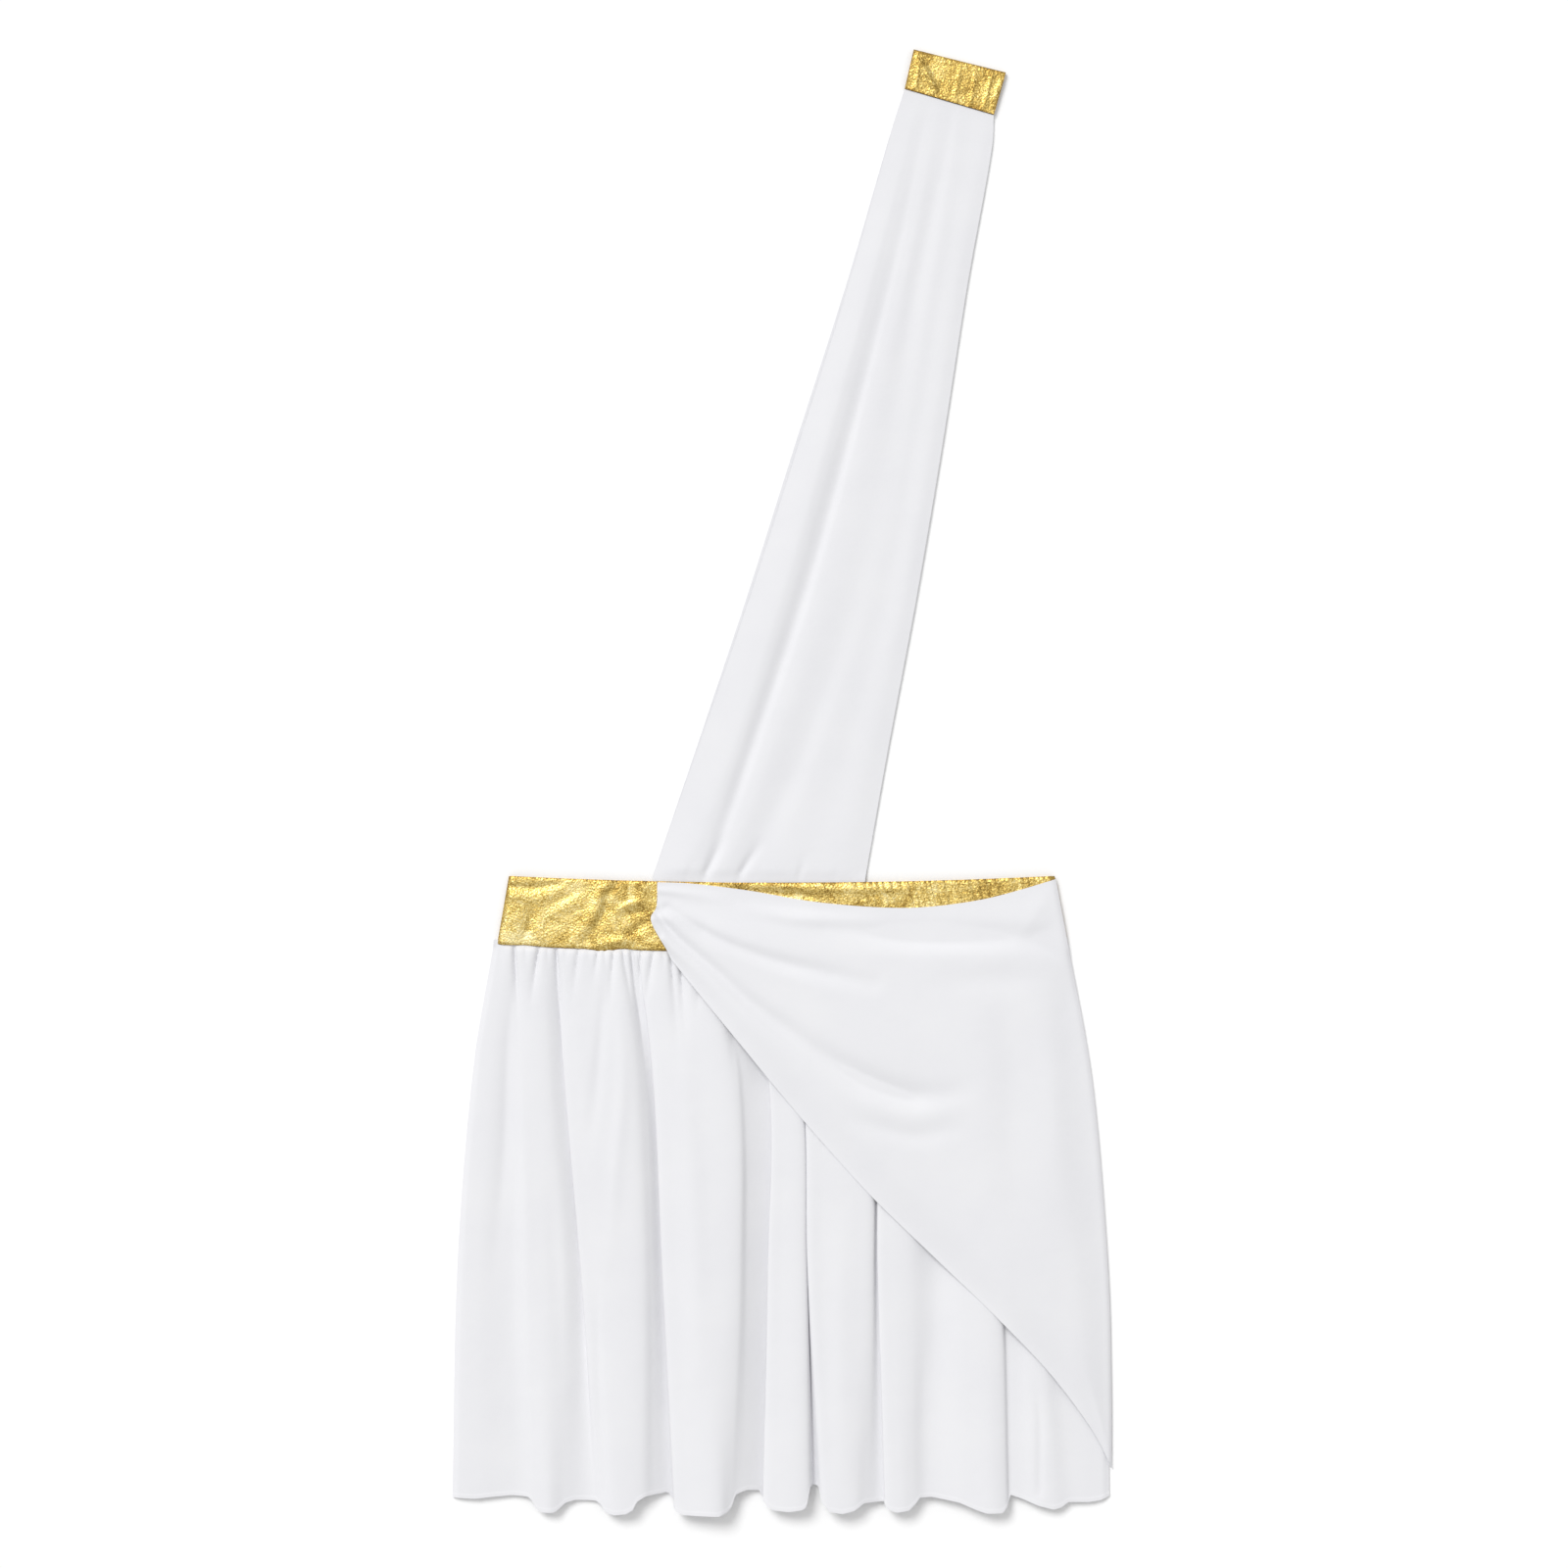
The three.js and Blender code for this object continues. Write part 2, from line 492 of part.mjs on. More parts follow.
function makeStrapBack() {
  const grid = gridOf(STRAP_BACK_ROWS, STRAP_BACK_COLUMNS_ACROSS, (down, across) => {
    const leftShow = STRAP_BACK_SHOW * Math.sin(Math.PI * down);
    const point = strapPoint(1 - down, across, leftShow);
    point.z = BACK_MIDDLE;
    return point;
  });
  return closedWall("strap_back", thicken(grid, CLOTH_WALL), whiteCloth);
}

function makeStrapFront() {
  const creases = creaseField(STRAP_CREASES);
  const grid = gridOf(STRAP_ROWS, STRAP_COLUMNS_ACROSS, (down, across) => {
    const rise = 1 - down;
    const point = strapPoint(rise, across, 0);
    const puff = STRAP_PUFF * (1 - Math.abs(2 * across - 1) ** STRAP_PUFF_POWER);
    const ends = smoothstep(Math.min(rise, down), 0, STRAP_END_FADE);
    const folds = Math.max(0, puff + creases(point.x, point.y));
    const seamLift = lerp(STRAP_TOP_LIFT, STRAP_BASE_LIFT, down);
    point.z = FRONT_MIDDLE + lerp(seamLift, folds, ends);
    return point;
  });
  return closedWall("strap_front", thicken(grid, CLOTH_WALL), whiteCloth);
}

// The strip runs along its back leg, round the fold at the shoulder, and down its front leg
function shoulderPath() {
  const turnRadius = (SHOULDER_WALL + GAP) / 2;
  const backMiddle = SHOULDER_WALL / 2;
  const legEnd = 1 - turnRadius / BAND_HEIGHT;
  const path = [];
  for (let i = 0; i < SHOULDER_LEG_STEPS; i += 1) {
    path.push({ reach: legEnd * (i / SHOULDER_LEG_STEPS), out: 0, z: backMiddle });
  }
  for (let i = 0; i <= SHOULDER_TURN_STEPS; i += 1) {
    const angle = Math.PI * (i / SHOULDER_TURN_STEPS);
    const z = backMiddle + turnRadius * (1 - Math.cos(angle));
    path.push({ reach: legEnd, out: turnRadius * Math.sin(angle), z });
  }
  for (let i = SHOULDER_LEG_STEPS - 1; i >= 0; i -= 1) {
    path.push({ reach: legEnd * (i / SHOULDER_LEG_STEPS), out: 0, z: backMiddle + 2 * turnRadius });
  }
  return path;
}

function makeShoulderBand() {
  const lift = creaseField(SHOULDER_CREASES);
  const edgeLeft = new THREE.Vector2(...SHOULDER_EDGE_LEFT);
  const edgeRight = new THREE.Vector2(...SHOULDER_EDGE_RIGHT);
  const foldLeft = new THREE.Vector2(...SHOULDER_FOLD_LEFT);
  const foldRight = new THREE.Vector2(...SHOULDER_FOLD_RIGHT);
  const frontLegHeight = SHOULDER_WALL + GAP;
  const grid = shoulderPath().map(({ reach, out, z }) => (
    Array.from({ length: SHOULDER_COLUMNS_ACROSS + 1 }, (_, c) => {
      const across = c / SHOULDER_COLUMNS_ACROSS;
      const edge = edgeRight.clone().lerp(edgeLeft, across);
      const fold = foldRight.clone().lerp(foldLeft, across);
      const direction = fold.clone().sub(edge).normalize();
      const place = edge.lerp(fold, reach).addScaledVector(direction, out);
      const wrinkle = z > frontLegHeight ? Math.max(0, lift(place.x, place.y)) : 0;
      return new THREE.Vector3(place.x, place.y, z + wrinkle);
    })
  ));
  return closedWall("shoulder_band", thicken(grid, SHOULDER_WALL), goldFoil);
}

// Greatest value within some cells each way, or the mean of them
function spread(cells, reachX, reachY, combine) {
  return cells.map((line, r) => line.map((_, c) => {
    const near = [];
    for (let i = Math.max(0, r - reachY); i <= Math.min(cells.length - 1, r + reachY); i += 1) {
      near.push(...cells[i].slice(Math.max(0, c - reachX), c + reachX + 1));
    }
    return combine(near);
  }));
}

// Height of the highest cloth near each place, softened, for the cloth that lies over it
function reliefOf(faces) {
  const { left, right, bottom, top } = RELIEF_LIMITS;
  const columnCount = Math.ceil((right - left) / RELIEF_CELL);
  const rowCount = Math.ceil((top - bottom) / RELIEF_CELL);
  const cells = Array.from({ length: rowCount }, () => new Array(columnCount).fill(0));
  const record = (x, y, z) => {
    const c = clamp(Math.floor((x - left) / RELIEF_CELL), 0, columnCount - 1);
    const r = clamp(Math.floor((y - bottom) / RELIEF_CELL), 0, rowCount - 1);
    cells[r][c] = Math.max(cells[r][c], z);
  };
  const shares = Array.from({ length: RELIEF_SAMPLES + 1 }, (_, i) => i / RELIEF_SAMPLES);
  faces.forEach((face) => {
    for (let r = 0; r < face.length - 1; r += 1) {
      for (let c = 0; c < face[r].length - 1; c += 1) {
        shares.forEach((across) => {
          const first = face[r][c].clone().lerp(face[r][c + 1], across);
          const second = face[r + 1][c].clone().lerp(face[r + 1][c + 1], across);
          shares.forEach((down) => {
            const point = first.clone().lerp(second, down);
            record(point.x, point.y, point.z);
          });
        });
      }
    }
  });
  const highest = spread(cells, RELIEF_SPREAD_X, RELIEF_SPREAD_Y, (near) => Math.max(...near));
  const soft = spread(highest, 1, 1, (near) => near.reduce((sum, z) => sum + z, 0) / near.length);
  const cellCentre = 0.5;
  return (x, y) => {
    const u = Math.max(0, (x - left) / RELIEF_CELL - cellCentre);
    const v = Math.max(0, (y - bottom) / RELIEF_CELL - cellCentre);
    const c = Math.min(Math.floor(u), columnCount - 2);
    const r = Math.min(Math.floor(v), rowCount - 2);
    const near = lerp(soft[r][c], soft[r][c + 1], u - c);
    const far = lerp(soft[r + 1][c], soft[r + 1][c + 1], u - c);
    return lerp(near, far, v - r);
  };
}

// The drape's four edges are filled by a patch; its height follows the cloth that it lies on
function makeDrape(faces) {
  const relief = reliefOf(faces);
  const creases = creaseField(DRAPE_CREASES);
  const upperEdge = flatCurve(DRAPE_UPPER_EDGE);
  const lowerEdge = flatCurve(DRAPE_LOWER_EDGE);
  const tuckEdge = flatCurve(DRAPE_TUCK_EDGE);
  const sideEdge = flatCurve(DRAPE_SIDE_EDGE);
  const seamHeight = FRONT_MIDDLE + CLOTH_WALL + 2 * GAP;
  const grid = gridOf(DRAPE_ROWS, DRAPE_COLUMNS_ACROSS, (down, step) => {
    const across = step ** DRAPE_COLUMN_POWER;
    const upper = upperEdge.getPointAt(across);
    const lower = lowerEdge.getPointAt(across);
    const tuck = tuckEdge.getPointAt(down);
    const side = sideEdge.getPointAt(down);
    const ends = tuck.clone().lerp(side, across);
    const edges = upper.clone().lerp(lower, down);
    const cornersAbove = upperEdge.getPoint(0).lerp(upperEdge.getPoint(1), across);
    const cornersBelow = lowerEdge.getPoint(0).lerp(lowerEdge.getPoint(1), across);
    const point = edges.add(ends).sub(cornersAbove.lerp(cornersBelow, down));
    const fromEdge = Math.min(
      point.distanceTo(upper), point.distanceTo(lower), point.distanceTo(side) + GAP,
    );
    const puff = DRAPE_PUFF * smoothstep(fromEdge, 0, DRAPE_PUFF_EDGE);
    const creaseShare = smoothstep(fromEdge, -GAP, DRAPE_PUFF_EDGE / 2);
    const folds = Math.max(0, puff + creaseShare * creases(point.x, point.y));
    const lying = relief(point.x, point.y) + GAP + CLOTH_WALL / 2 + folds;
    point.z = across === 1 && point.y < 0 ? seamHeight : lying;
    return point;
  });
  return closedWall("drape", thicken(grid, CLOTH_WALL), whiteCloth);
}

function makeCostume() {
  const costume = new THREE.Group();
  costume.position.y = WAIST_SEAM_FROM_ORIGIN;
  const frontGrid = skirtFrontGrid();
  const bandFaces = waistbandFrontFaces();
  const drapeRestsOn = [thicken(frontGrid, CLOTH_WALL).upper, bandFaces.upper];
  costume.add(
    makeSkirtBack(),
    makeSkirtFront(frontGrid),
    makeWaistbandBack(),
    closedWall("waistband_front", bandFaces, goldFoil),
    makeStrapBack(),
    makeStrapFront(),
    makeShoulderBand(),
    makeDrape(drapeRestsOn),
  );
  return costume;
}

const costume = makeCostume();

export default costume;
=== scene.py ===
# Greek warrior costume laid flat: cloth shells on the frame's solids, materials, light and camera
import math

import bpy
import numpy as np
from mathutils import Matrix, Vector


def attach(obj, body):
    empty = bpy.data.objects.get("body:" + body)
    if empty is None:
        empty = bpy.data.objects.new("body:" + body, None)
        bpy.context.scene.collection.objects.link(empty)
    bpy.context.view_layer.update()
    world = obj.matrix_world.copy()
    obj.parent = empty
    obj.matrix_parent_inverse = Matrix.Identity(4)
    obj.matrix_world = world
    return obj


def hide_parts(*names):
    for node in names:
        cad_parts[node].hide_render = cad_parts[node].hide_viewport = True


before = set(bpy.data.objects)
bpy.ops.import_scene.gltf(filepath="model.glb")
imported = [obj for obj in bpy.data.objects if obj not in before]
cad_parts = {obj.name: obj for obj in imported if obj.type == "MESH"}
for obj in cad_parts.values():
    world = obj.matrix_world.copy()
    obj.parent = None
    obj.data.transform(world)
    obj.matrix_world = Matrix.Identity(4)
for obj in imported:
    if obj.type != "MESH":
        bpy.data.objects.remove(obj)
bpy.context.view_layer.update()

# Lengths are millimetres from the middle of the waist seam until a mesh is made
MM = 0.001
WAIST_SEAM_FROM_ORIGIN = -124.7

# Thickness of the cloth, and heights of the middle of each layer
CLOTH_THICK = 0.7
BAND_THICK = 1.4
SHOULDER_THICK = 0.8
GAP = 0.3
LAYER_GAP = 0.05
BACK_MIDDLE = CLOTH_THICK / 2
FRONT_MIDDLE = 2.1
FRONT_SIDE_MIDDLE = 1.15
BAND_BACK_MIDDLE = BAND_THICK / 2
BAND_FRONT_MIDDLE = 3.7
BAND_SIDE_MIDDLE = 2.15
BAND_SIDE_TURN = 4.0
BAND_EDGE_TURN = 2.2
BAND_EDGE_DROP = 0.5

# Where a cloth edge is sewn in between the two halves of the band
SEAM_ALLOWANCE = 3.0
BACK_TUCKED_MIDDLE = 1.76
FRONT_TUCKED_MIDDLE = 2.55

# Waistband outline
WAIST_SEAM_HALF_WIDTH = 208.4
WAIST_SEAM_SIDE_RISE = 5.7
BAND_TOP_HALF_WIDTH = 199.8
BAND_HEIGHT = 50.4
BAND_TOP_SIDE_RISE = 5.0
BAND_SEAM_WAVES = ((-188.0, -0.6, 7.0), (-160.0, 0.4, 12.0), (-132.0, 1.5, 9.0), (-116.0, -0.6, 6.0))
BAND_COLUMNS = 420
BAND_ROWS = 52
BAND_BACK_COLUMNS = 210
BAND_BACK_ROWS = 26

# Skirt
SKIRT_DROP = 400.0
FOLD_STEP = 1.6
ROLL_HEM = 2.4
ROLL_HEM_STEP = 0.6
HEM_ROLL_THICKENING = 0.5
SKIRT_SIDE_TURN = 4.5
FRONT_ROW_STEP = 5.2
BACK_ROW_STEP = 6.0
WAIST_ROWS_DROP = 42
WAIST_ROW_STEP = 1.5
MIDDLE_ROWS_END = 8
HEM_ROWS_START = 7
HEM_ROWS = 15

# Drops over which the cloth comes out from between the two halves of the band
SEWN_DROP_START = -0.5
FRONT_SEWN_DROP_END = 3.0
BACK_SEWN_DROP_END = 4.0

# Lines down the front of the skirt: X and height at the waist, hip, middle and hem
MIDDLE_PLACE = 0.584
FOLD_PLACES = (0.0, 0.23, MIDDLE_PLACE, 1.0)
FRONT_FOLDS = (
    ("side left", -211.5, -226.6, -238.1, -241.7, 0.2, 0, 0, 0),
    ("roll left", -208.6, -223.6, -235.0, -238.8, 0.6, 0.9, 1.0, 0.9),
    ("flat left", -203.0, -213.0, -222.0, -222.0, 1.0, 2.0, 2.2, 2.0),
    ("dip left", -198.0, -198.0, -197.0, -192.0, 0.8, 1.3, 1.2, 1.6),
    ("crest A", -191.3, -189.0, -186.0, -180.0, 1.2, 3.4, 4.2, 4.6),
    ("top A", -184.0, -180.0, -175.0, -170.0, 1.2, 4.6, 5.6, 6.4),
    ("fall A", -175.0, -170.5, -160.5, -160.0, 1.2, 4.2, 5.2, 3.4),
    ("valley B", -167.0, -160.0, -147.6, -146.0, 0.3, 0.3, 0.3, 0.8),
    ("under B", -164.4, -158.4, -146.0, -138.4, 0.5, 0.6, 0.6, 1.4),
    ("edge B", -165.0, -159.4, -147.2, -134.4, 1.2, 3.6, 3.8, 3.4),
    ("crest B", -157.0, -150.0, -138.0, -129.0, 1.3, 5.4, 6.2, 6.6),
    ("top B", -138.0, -135.0, -126.0, -120.0, 1.3, 6.6, 7.8, 8.8),
    ("shoulder B", -118.0, -108.5, -102.0, -102.0, 1.3, 6.8, 8.0, 8.2),
    ("fall B", -112.0, -101.5, -95.5, -94.0, 1.2, 3.8, 4.6, 4.4),
    ("valley C", -107.5, -95.0, -88.4, -82.0, 0.2, 0.1, 0.1, 0.3),
    ("under C", -104.0, -90.6, -83.6, -73.4, 0.6, 0.7, 0.8, 1.0),
    ("edge C", -105.6, -94.2, -87.2, -78.6, 1.3, 5.0, 6.6, 8.0),
    ("crest C", -99.0, -84.0, -75.0, -66.0, 1.5, 7.2, 9.6, 11.6),
    ("back C", -80.0, -60.0, -53.0, -46.0, 1.4, 8.8, 12.0, 13.8),
    ("fall C", -60.0, -34.5, -31.5, -38.0, 1.2, 8.3, 10.6, 9.4),
    ("low C", -48.0, -28.5, -25.5, -28.0, 0.9, 4.8, 6.2, 5.0),
    ("valley D", -40.0, -11.5, -10.0, -14.5, 0.5, 0.3, 0.2, 0.4),
    ("under D", -33.6, -5.8, -5.4, -5.8, 0.6, 0.8, 0.8, 1.2),
    ("edge D", -35.0, -9.6, -10.0, -13.4, 1.3, 5.4, 6.8, 7.4),
    ("crest D", -28.0, -2.0, -1.0, -3.0, 1.4, 6.6, 8.2, 10.0),
    ("right D", -16.0, 12.4, 17.2, 19.4, 1.2, 6.2, 8.2, 9.2),
    ("slit DE", -9.2, 14.0, 18.4, 23.6, 0.7, 4.2, 2.4, 0.4),
    ("left E", -4.9, 15.6, 19.6, 29.4, 1.1, 5.6, 7.8, 8.6),
    ("crest E", 3.8, 27.0, 31.0, 38.0, 1.4, 6.6, 8.6, 10.6),
    ("back E", 18.9, 49.0, 55.0, 53.0, 1.3, 6.8, 8.8, 10.2),
    ("fall E", 30.0, 62.4, 66.4, 62.0, 1.1, 5.6, 7.0, 6.6),
    ("valley EF", 37.5, 65.2, 69.2, 71.6, 0.5, 1.6, 3.2, 3.0),
    ("under F", 41.4, 68.6, 72.6, 77.4, 0.6, 1.6, 3.0, 3.4),
    ("edge F", 39.8, 66.7, 70.6, 75.5, 1.2, 4.8, 6.8, 8.2),
    ("crest F", 47.0, 74.0, 80.0, 87.0, 1.4, 5.8, 7.8, 10.0),
    ("top F", 58.0, 86.0, 94.0, 96.0, 1.3, 5.4, 7.0, 8.2),
    ("valley G", 73.6, 104.0, 112.0, 107.0, 1.0, 3.0, 3.0, 4.6),
    ("crest G", 92.0, 122.0, 133.0, 136.0, 1.3, 4.8, 6.6, 7.6),
    ("top G", 104.0, 134.0, 150.0, 156.0, 1.3, 5.0, 7.2, 9.4),
    ("fall G", 110.3, 143.5, 159.6, 164.5, 1.2, 4.2, 5.4, 7.0),
    ("valley H", 115.4, 146.0, 161.6, 166.6, 0.8, 1.4, 2.6, 4.2),
    ("under H", 118.0, 150.6, 167.0, 172.4, 0.8, 1.2, 2.2, 3.8),
    ("edge H", 122.0, 154.0, 172.0, 178.4, 0.9, 1.6, 2.6, 4.2),
    ("crest H", 130.0, 163.0, 180.0, 188.0, 1.1, 3.0, 3.8, 5.6),
    ("top H", 138.0, 171.0, 187.0, 200.0, 1.1, 3.2, 3.8, 5.2),
    ("step H", 148.5, 180.2, 194.6, 211.9, 1.0, 2.0, 2.0, 2.4),
    ("flat right", 174.4, 204.7, 219.1, 226.3, 0.8, 1.0, 1.0, 1.5),
    ("roll right", 206.1, 221.2, 232.7, 234.9, 0.4, 0.4, 0.4, 0.8),
    ("side right", 209.7, 226.3, 238.5, 240.3, 0.2, 0, 0, 0),
)

# Edge of the front hem, which hangs lower on each fold and higher in each valley
HEM_EDGE = (
    (-242, -400.4), (-225, -401.2), (-213, -399.8), (-198, -398.5), (-186, -399.4), (-182.5, -402.5),
    (-179.5, -408.4), (-175, -410.5), (-167, -410.5), (-163.5, -408), (-159, -404), (-152, -402),
    (-136, -402.4), (-132, -405), (-129, -410), (-123, -412), (-114, -411), (-109, -408),
    (-106, -402),
    (-100, -398.4), (-84, -396.2), (-80, -401), (-77.5, -409), (-72, -411.4), (-46, -412), (-40, -409.2),
    (-37, -406), (-34, -397), (-26, -394.2), (-17, -394.8), (-14, -400.5), (-10, -406), (-5, -408.2),
    (5, -409.2), (15, -407.8), (18, -405.6), (20.4, -391), (27, -391), (29.5, -402), (34.8, -409),
    (44, -410.6), (53, -408.4), (60, -403.4), (75, -402.6), (78, -407.6), (84, -409.8), (93, -408.4),
    (98, -403.5), (101, -399.6), (110, -399.2), (130, -403), (142, -408), (150, -410.6), (161.5, -410.4),
    (165, -406), (167.5, -397.8), (176, -400.6), (188, -405.6), (199, -408.4), (205, -407), (210, -403.4),
    (225, -403.6), (233.5, -402.4), (240, -399.5),
)

# Softer creases between the folds. Each row of the crease tables gives the heights at the
# start, middle and end of a line, the widths at its two ends, and the points of the line.
SKIRT_CREASES = (
    (0, -1.2, -0.2, 3, 6, ((-195.0, -8), (-200.7, -64), (-203, -136), (-211, -237))),
    (0, 0.9, 0.3, 5, 7, ((-191.3, -50), (-189.2, -136), (-187.7, -234), (-185.6, -309))),
    (0, -1.2, 0, 3, 5, ((-129.0, -8), (-132.3, -57), (-135.9, -100), (-142.4, -150))),
    (0, 1.1, 0.2, 4, 6, ((-119.3, -28), (-116.5, -93), (-120.8, -150), (-126.5, -230))),
    (0.2, -0.8, -0.4, 5, 6, ((-171.2, -136), (-165.4, -237), (-161.8, -309))),
    (0.3, 1.0, 0.5, 7, 8, ((-71.1, -57), (-70.4, -93), (-64.6, -186), (-61.7, -309))),
    (0, -0.8, -0.6, 3, 3, ((-135.9, -230), (-133.7, -330), (-129.4, -396))),
    (0, -0.8, -0.8, 3, 3, ((181.6, -309), (188.1, -334), (188.8, -396))),
    (0.3, 0.8, 0.4, 7, 8, ((44, -200), (43, -290), (46, -380))),
    (0, -0.7, -0.3, 5, 6, ((104, -280), (102, -340), (101, -390))),
)

# Waist gathers, sharp small troughs: place along the seam, depth, reach down the skirt and slant
GATHERS = (
    (-196.5, 2.3, 40, 0.06), (-188.0, 0.5, 9, 0.05), (-178.3, 2.0, 26, -0.14), (-172.0, 0.5, 9, 0.0),
    (-165.6, 2.4, 62, 0.08), (-158.0, 0.6, 10, -0.10), (-149.0, 1.2, 24, -0.12), (-141.5, 0.5, 9, 0.0),
    (-134.5, 1.2, 16, -0.15), (-130.2, 0.9, 12, 0.10), (-123.2, 1.4, 28, -0.08), (-116.8, 1.5, 34, 0.16),
    (-110.6, 2.5, 80, 0.12), (-103.2, 1.3, 26, -0.06), (-94.0, 1.3, 30, -0.16), (-87.0, 0.6, 11, 0.0),
    (-81.5, 1.6, 46, 0.08),
)
GATHER_PITCH = 8.2
GATHER_PITCH_CHANGE = 1.4
GATHER_PITCH_TURN = 2.1
GATHER_WIDTH = 1.2
GATHER_WIDENING = 0.05
GATHER_SHARPNESS = 1.25
GATHER_DEEPENING = 2.0
GATHER_PUFF = 2.3
GATHER_PUFF_START = 2.4
GATHER_PUFF_REACH = 34.0
GATHER_SIDE_FADE = 12.0

# Back panel of the skirt
BACK_COLUMNS = 240
BACK_HEM_SIDE_DROP = 399.6
BACK_HEM_MIDDLE_DROP = 390.2
BACK_FOLD_START = 0.25

# Low folds of the back: X at the middle and at the hem, height and half width
BACK_FOLDS = (
    ("back A", -189, -171, 1.5, 12),
    ("back B", -128, -118, 1.6, 13),
    ("back C", -66, -59, 2.0, 17),
    ("back D", 2, 3, 1.6, 12),
    ("back E", 40, 44, 1.6, 11),
    ("back F", 82, 89, 1.5, 11),
    ("back G", 143, 150, 1.5, 13),
)
BACK_GATHER_SHARE = 0.3

# Strap outline from the waistband to the shoulder band: left X and Y, right X and Y
STRAP_COLUMNS = 90
STRAP_ROWS = 240
STRAP_BACK_COLUMNS = 30
STRAP_BACK_ROWS = 120
STRAP_BACK_SHOW = 2.6
STRAP_FRONT_LIE = 1.15
STRAP_SEAM_REACH = 0.014
STRAP_FOOT_ROWS = 1.5
STRAP_LENGTH = 580.0
STRAP_BACK_FOOT_START = 2
STRAP_BACK_FOOT_END = 12
STRAP_BACK_TOP_LIFT = 0.85
STRAP_BACK_TOP_START = 1
STRAP_BACK_TOP_END = 9
STRAP_TOP_MIDDLE = 1.9
STRAP_PLACES = (0, 0.16, 0.36, 0.56, 0.76, 0.955, 1)
STRAP_SECTIONS = (
    (-95.6, 53.2, 60.7, 51.2),
    (-63.2, 144.7, 77.2, 144.7),
    (-23.6, 259.9, 98.8, 259.9),
    (13.1, 375.1, 118.3, 375.1),
    (49.1, 490.3, 136.3, 490.3),
    (81.5, 605.5, 154.3, 590.5),
    (90.1, 633.3, 155.6, 614.2),
)

# Lines up the strap: share of its width and height, at the foot, low, middle, high and at the top
STRAP_FOLD_PLACES = (0, 0.15, 0.45, 0.8, 1)
STRAP_FOLDS = (
    ("edge left", 0, 0, 0, 0, 0, 0.6, 0.8, 0.8, 0.6, 0.3),
    ("crest left", 0.13, 0.17, 0.18, 0.17, 0.17, 3.4, 3.0, 3.4, 2.2, 0.5),
    ("fall left", 0.2, 0.22, 0.24, 0.24, 0.22, 3.2, 2.6, 2.7, 1.7, 0.5),
    ("trough left", 0.255, 0.28, 0.33, 0.33, 0.28, 2.2, 0.3, 0.0, 0.7, 0.5),
    ("rise middle", 0.29, 0.33, 0.39, 0.39, 0.34, 3.0, 2.0, 1.8, 1.3, 0.55),
    ("crest middle", 0.33, 0.4, 0.48, 0.46, 0.4, 3.2, 2.6, 2.3, 1.6, 0.6),
    ("trough middle", 0.41, 0.54, 0.63, 0.57, 0.54, 2.2, 0.9, 1.7, 0.5, 0.4),
    ("crest right", 0.55, 0.64, 0.74, 0.68, 0.62, 2.8, 2.0, 1.7, 1.6, 0.6),
    ("dip right", 0.7, 0.78, 0.82, 0.78, 0.76, 2.5, 1.6, 1.5, 1.4, 0.5),
    ("swell right", 0.87, 0.9, 0.92, 0.9, 0.9, 2.3, 2.0, 2.0, 1.6, 0.6),
    ("edge right", 1, 1, 1, 1, 1, 0.5, 0.6, 0.8, 0.6, 0.3),
)

# Shoulder band
SHOULDER_COLUMNS = 110
SHOULDER_LEG_STEPS = 40
SHOULDER_TURN_STEPS = 14
SHOULDER_TURN_RADIUS = 1.15
SHOULDER_EDGE_LEFT = (90.2, 633.6)
SHOULDER_EDGE_RIGHT = (155.7, 614.5)
SHOULDER_FOLD_LEFT = (96.7, 661.6)
SHOULDER_FOLD_RIGHT = (164.3, 644.7)

# Drape outline
DRAPE_COLUMNS = 210
DRAPE_ROWS = 150
DRAPE_COLUMN_POWER = 1.35
DRAPE_PUFF = 3.0
DRAPE_PUFF_EDGE = 40.0
DRAPE_CREASE_EDGE = 11.0
DRAPE_SIDE_TURN = 5.0
DRAPE_SIDE_REACH = 55.0
DRAPE_SIDE_MIDDLE = 1.95
DRAPE_OVER_BAND = 1.2
DRAPE_BAND_START_Y = -6
DRAPE_BAND_FULL_Y = 4
DRAPE_UPPER_EDGE = (
    (-91.3, 51.1), (-70.4, 50.4), (-27.2, 45.4), (30.4, 36.0), (95.2, 32.4), (145.6, 38.2),
    (174.4, 45.4), (200.8, 53.3),
)
DRAPE_LOWER_EDGE = (
    (-81.2, -5.0), (-63.9, -26.6), (-36.5, -59.8), (14.6, -121.7), (65.7, -178.6), (116.8, -228.2),
    (158.6, -268.6), (199.6, -312.5), (230.6, -355.7), (241.8, -378.7),
)
DRAPE_TUCK_EDGE = ((-91.3, 51.1), (-92.0, 33.1), (-95.9, 24.5), (-84.1, 1.4), (-81.2, -5.0))
DRAPE_SIDE_EDGE = (
    (200.8, 53.3), (210.0, 4.0), (227.3, -93.0), (239.4, -237.0), (241.4, -310.0), (241.8, -378.7),
)

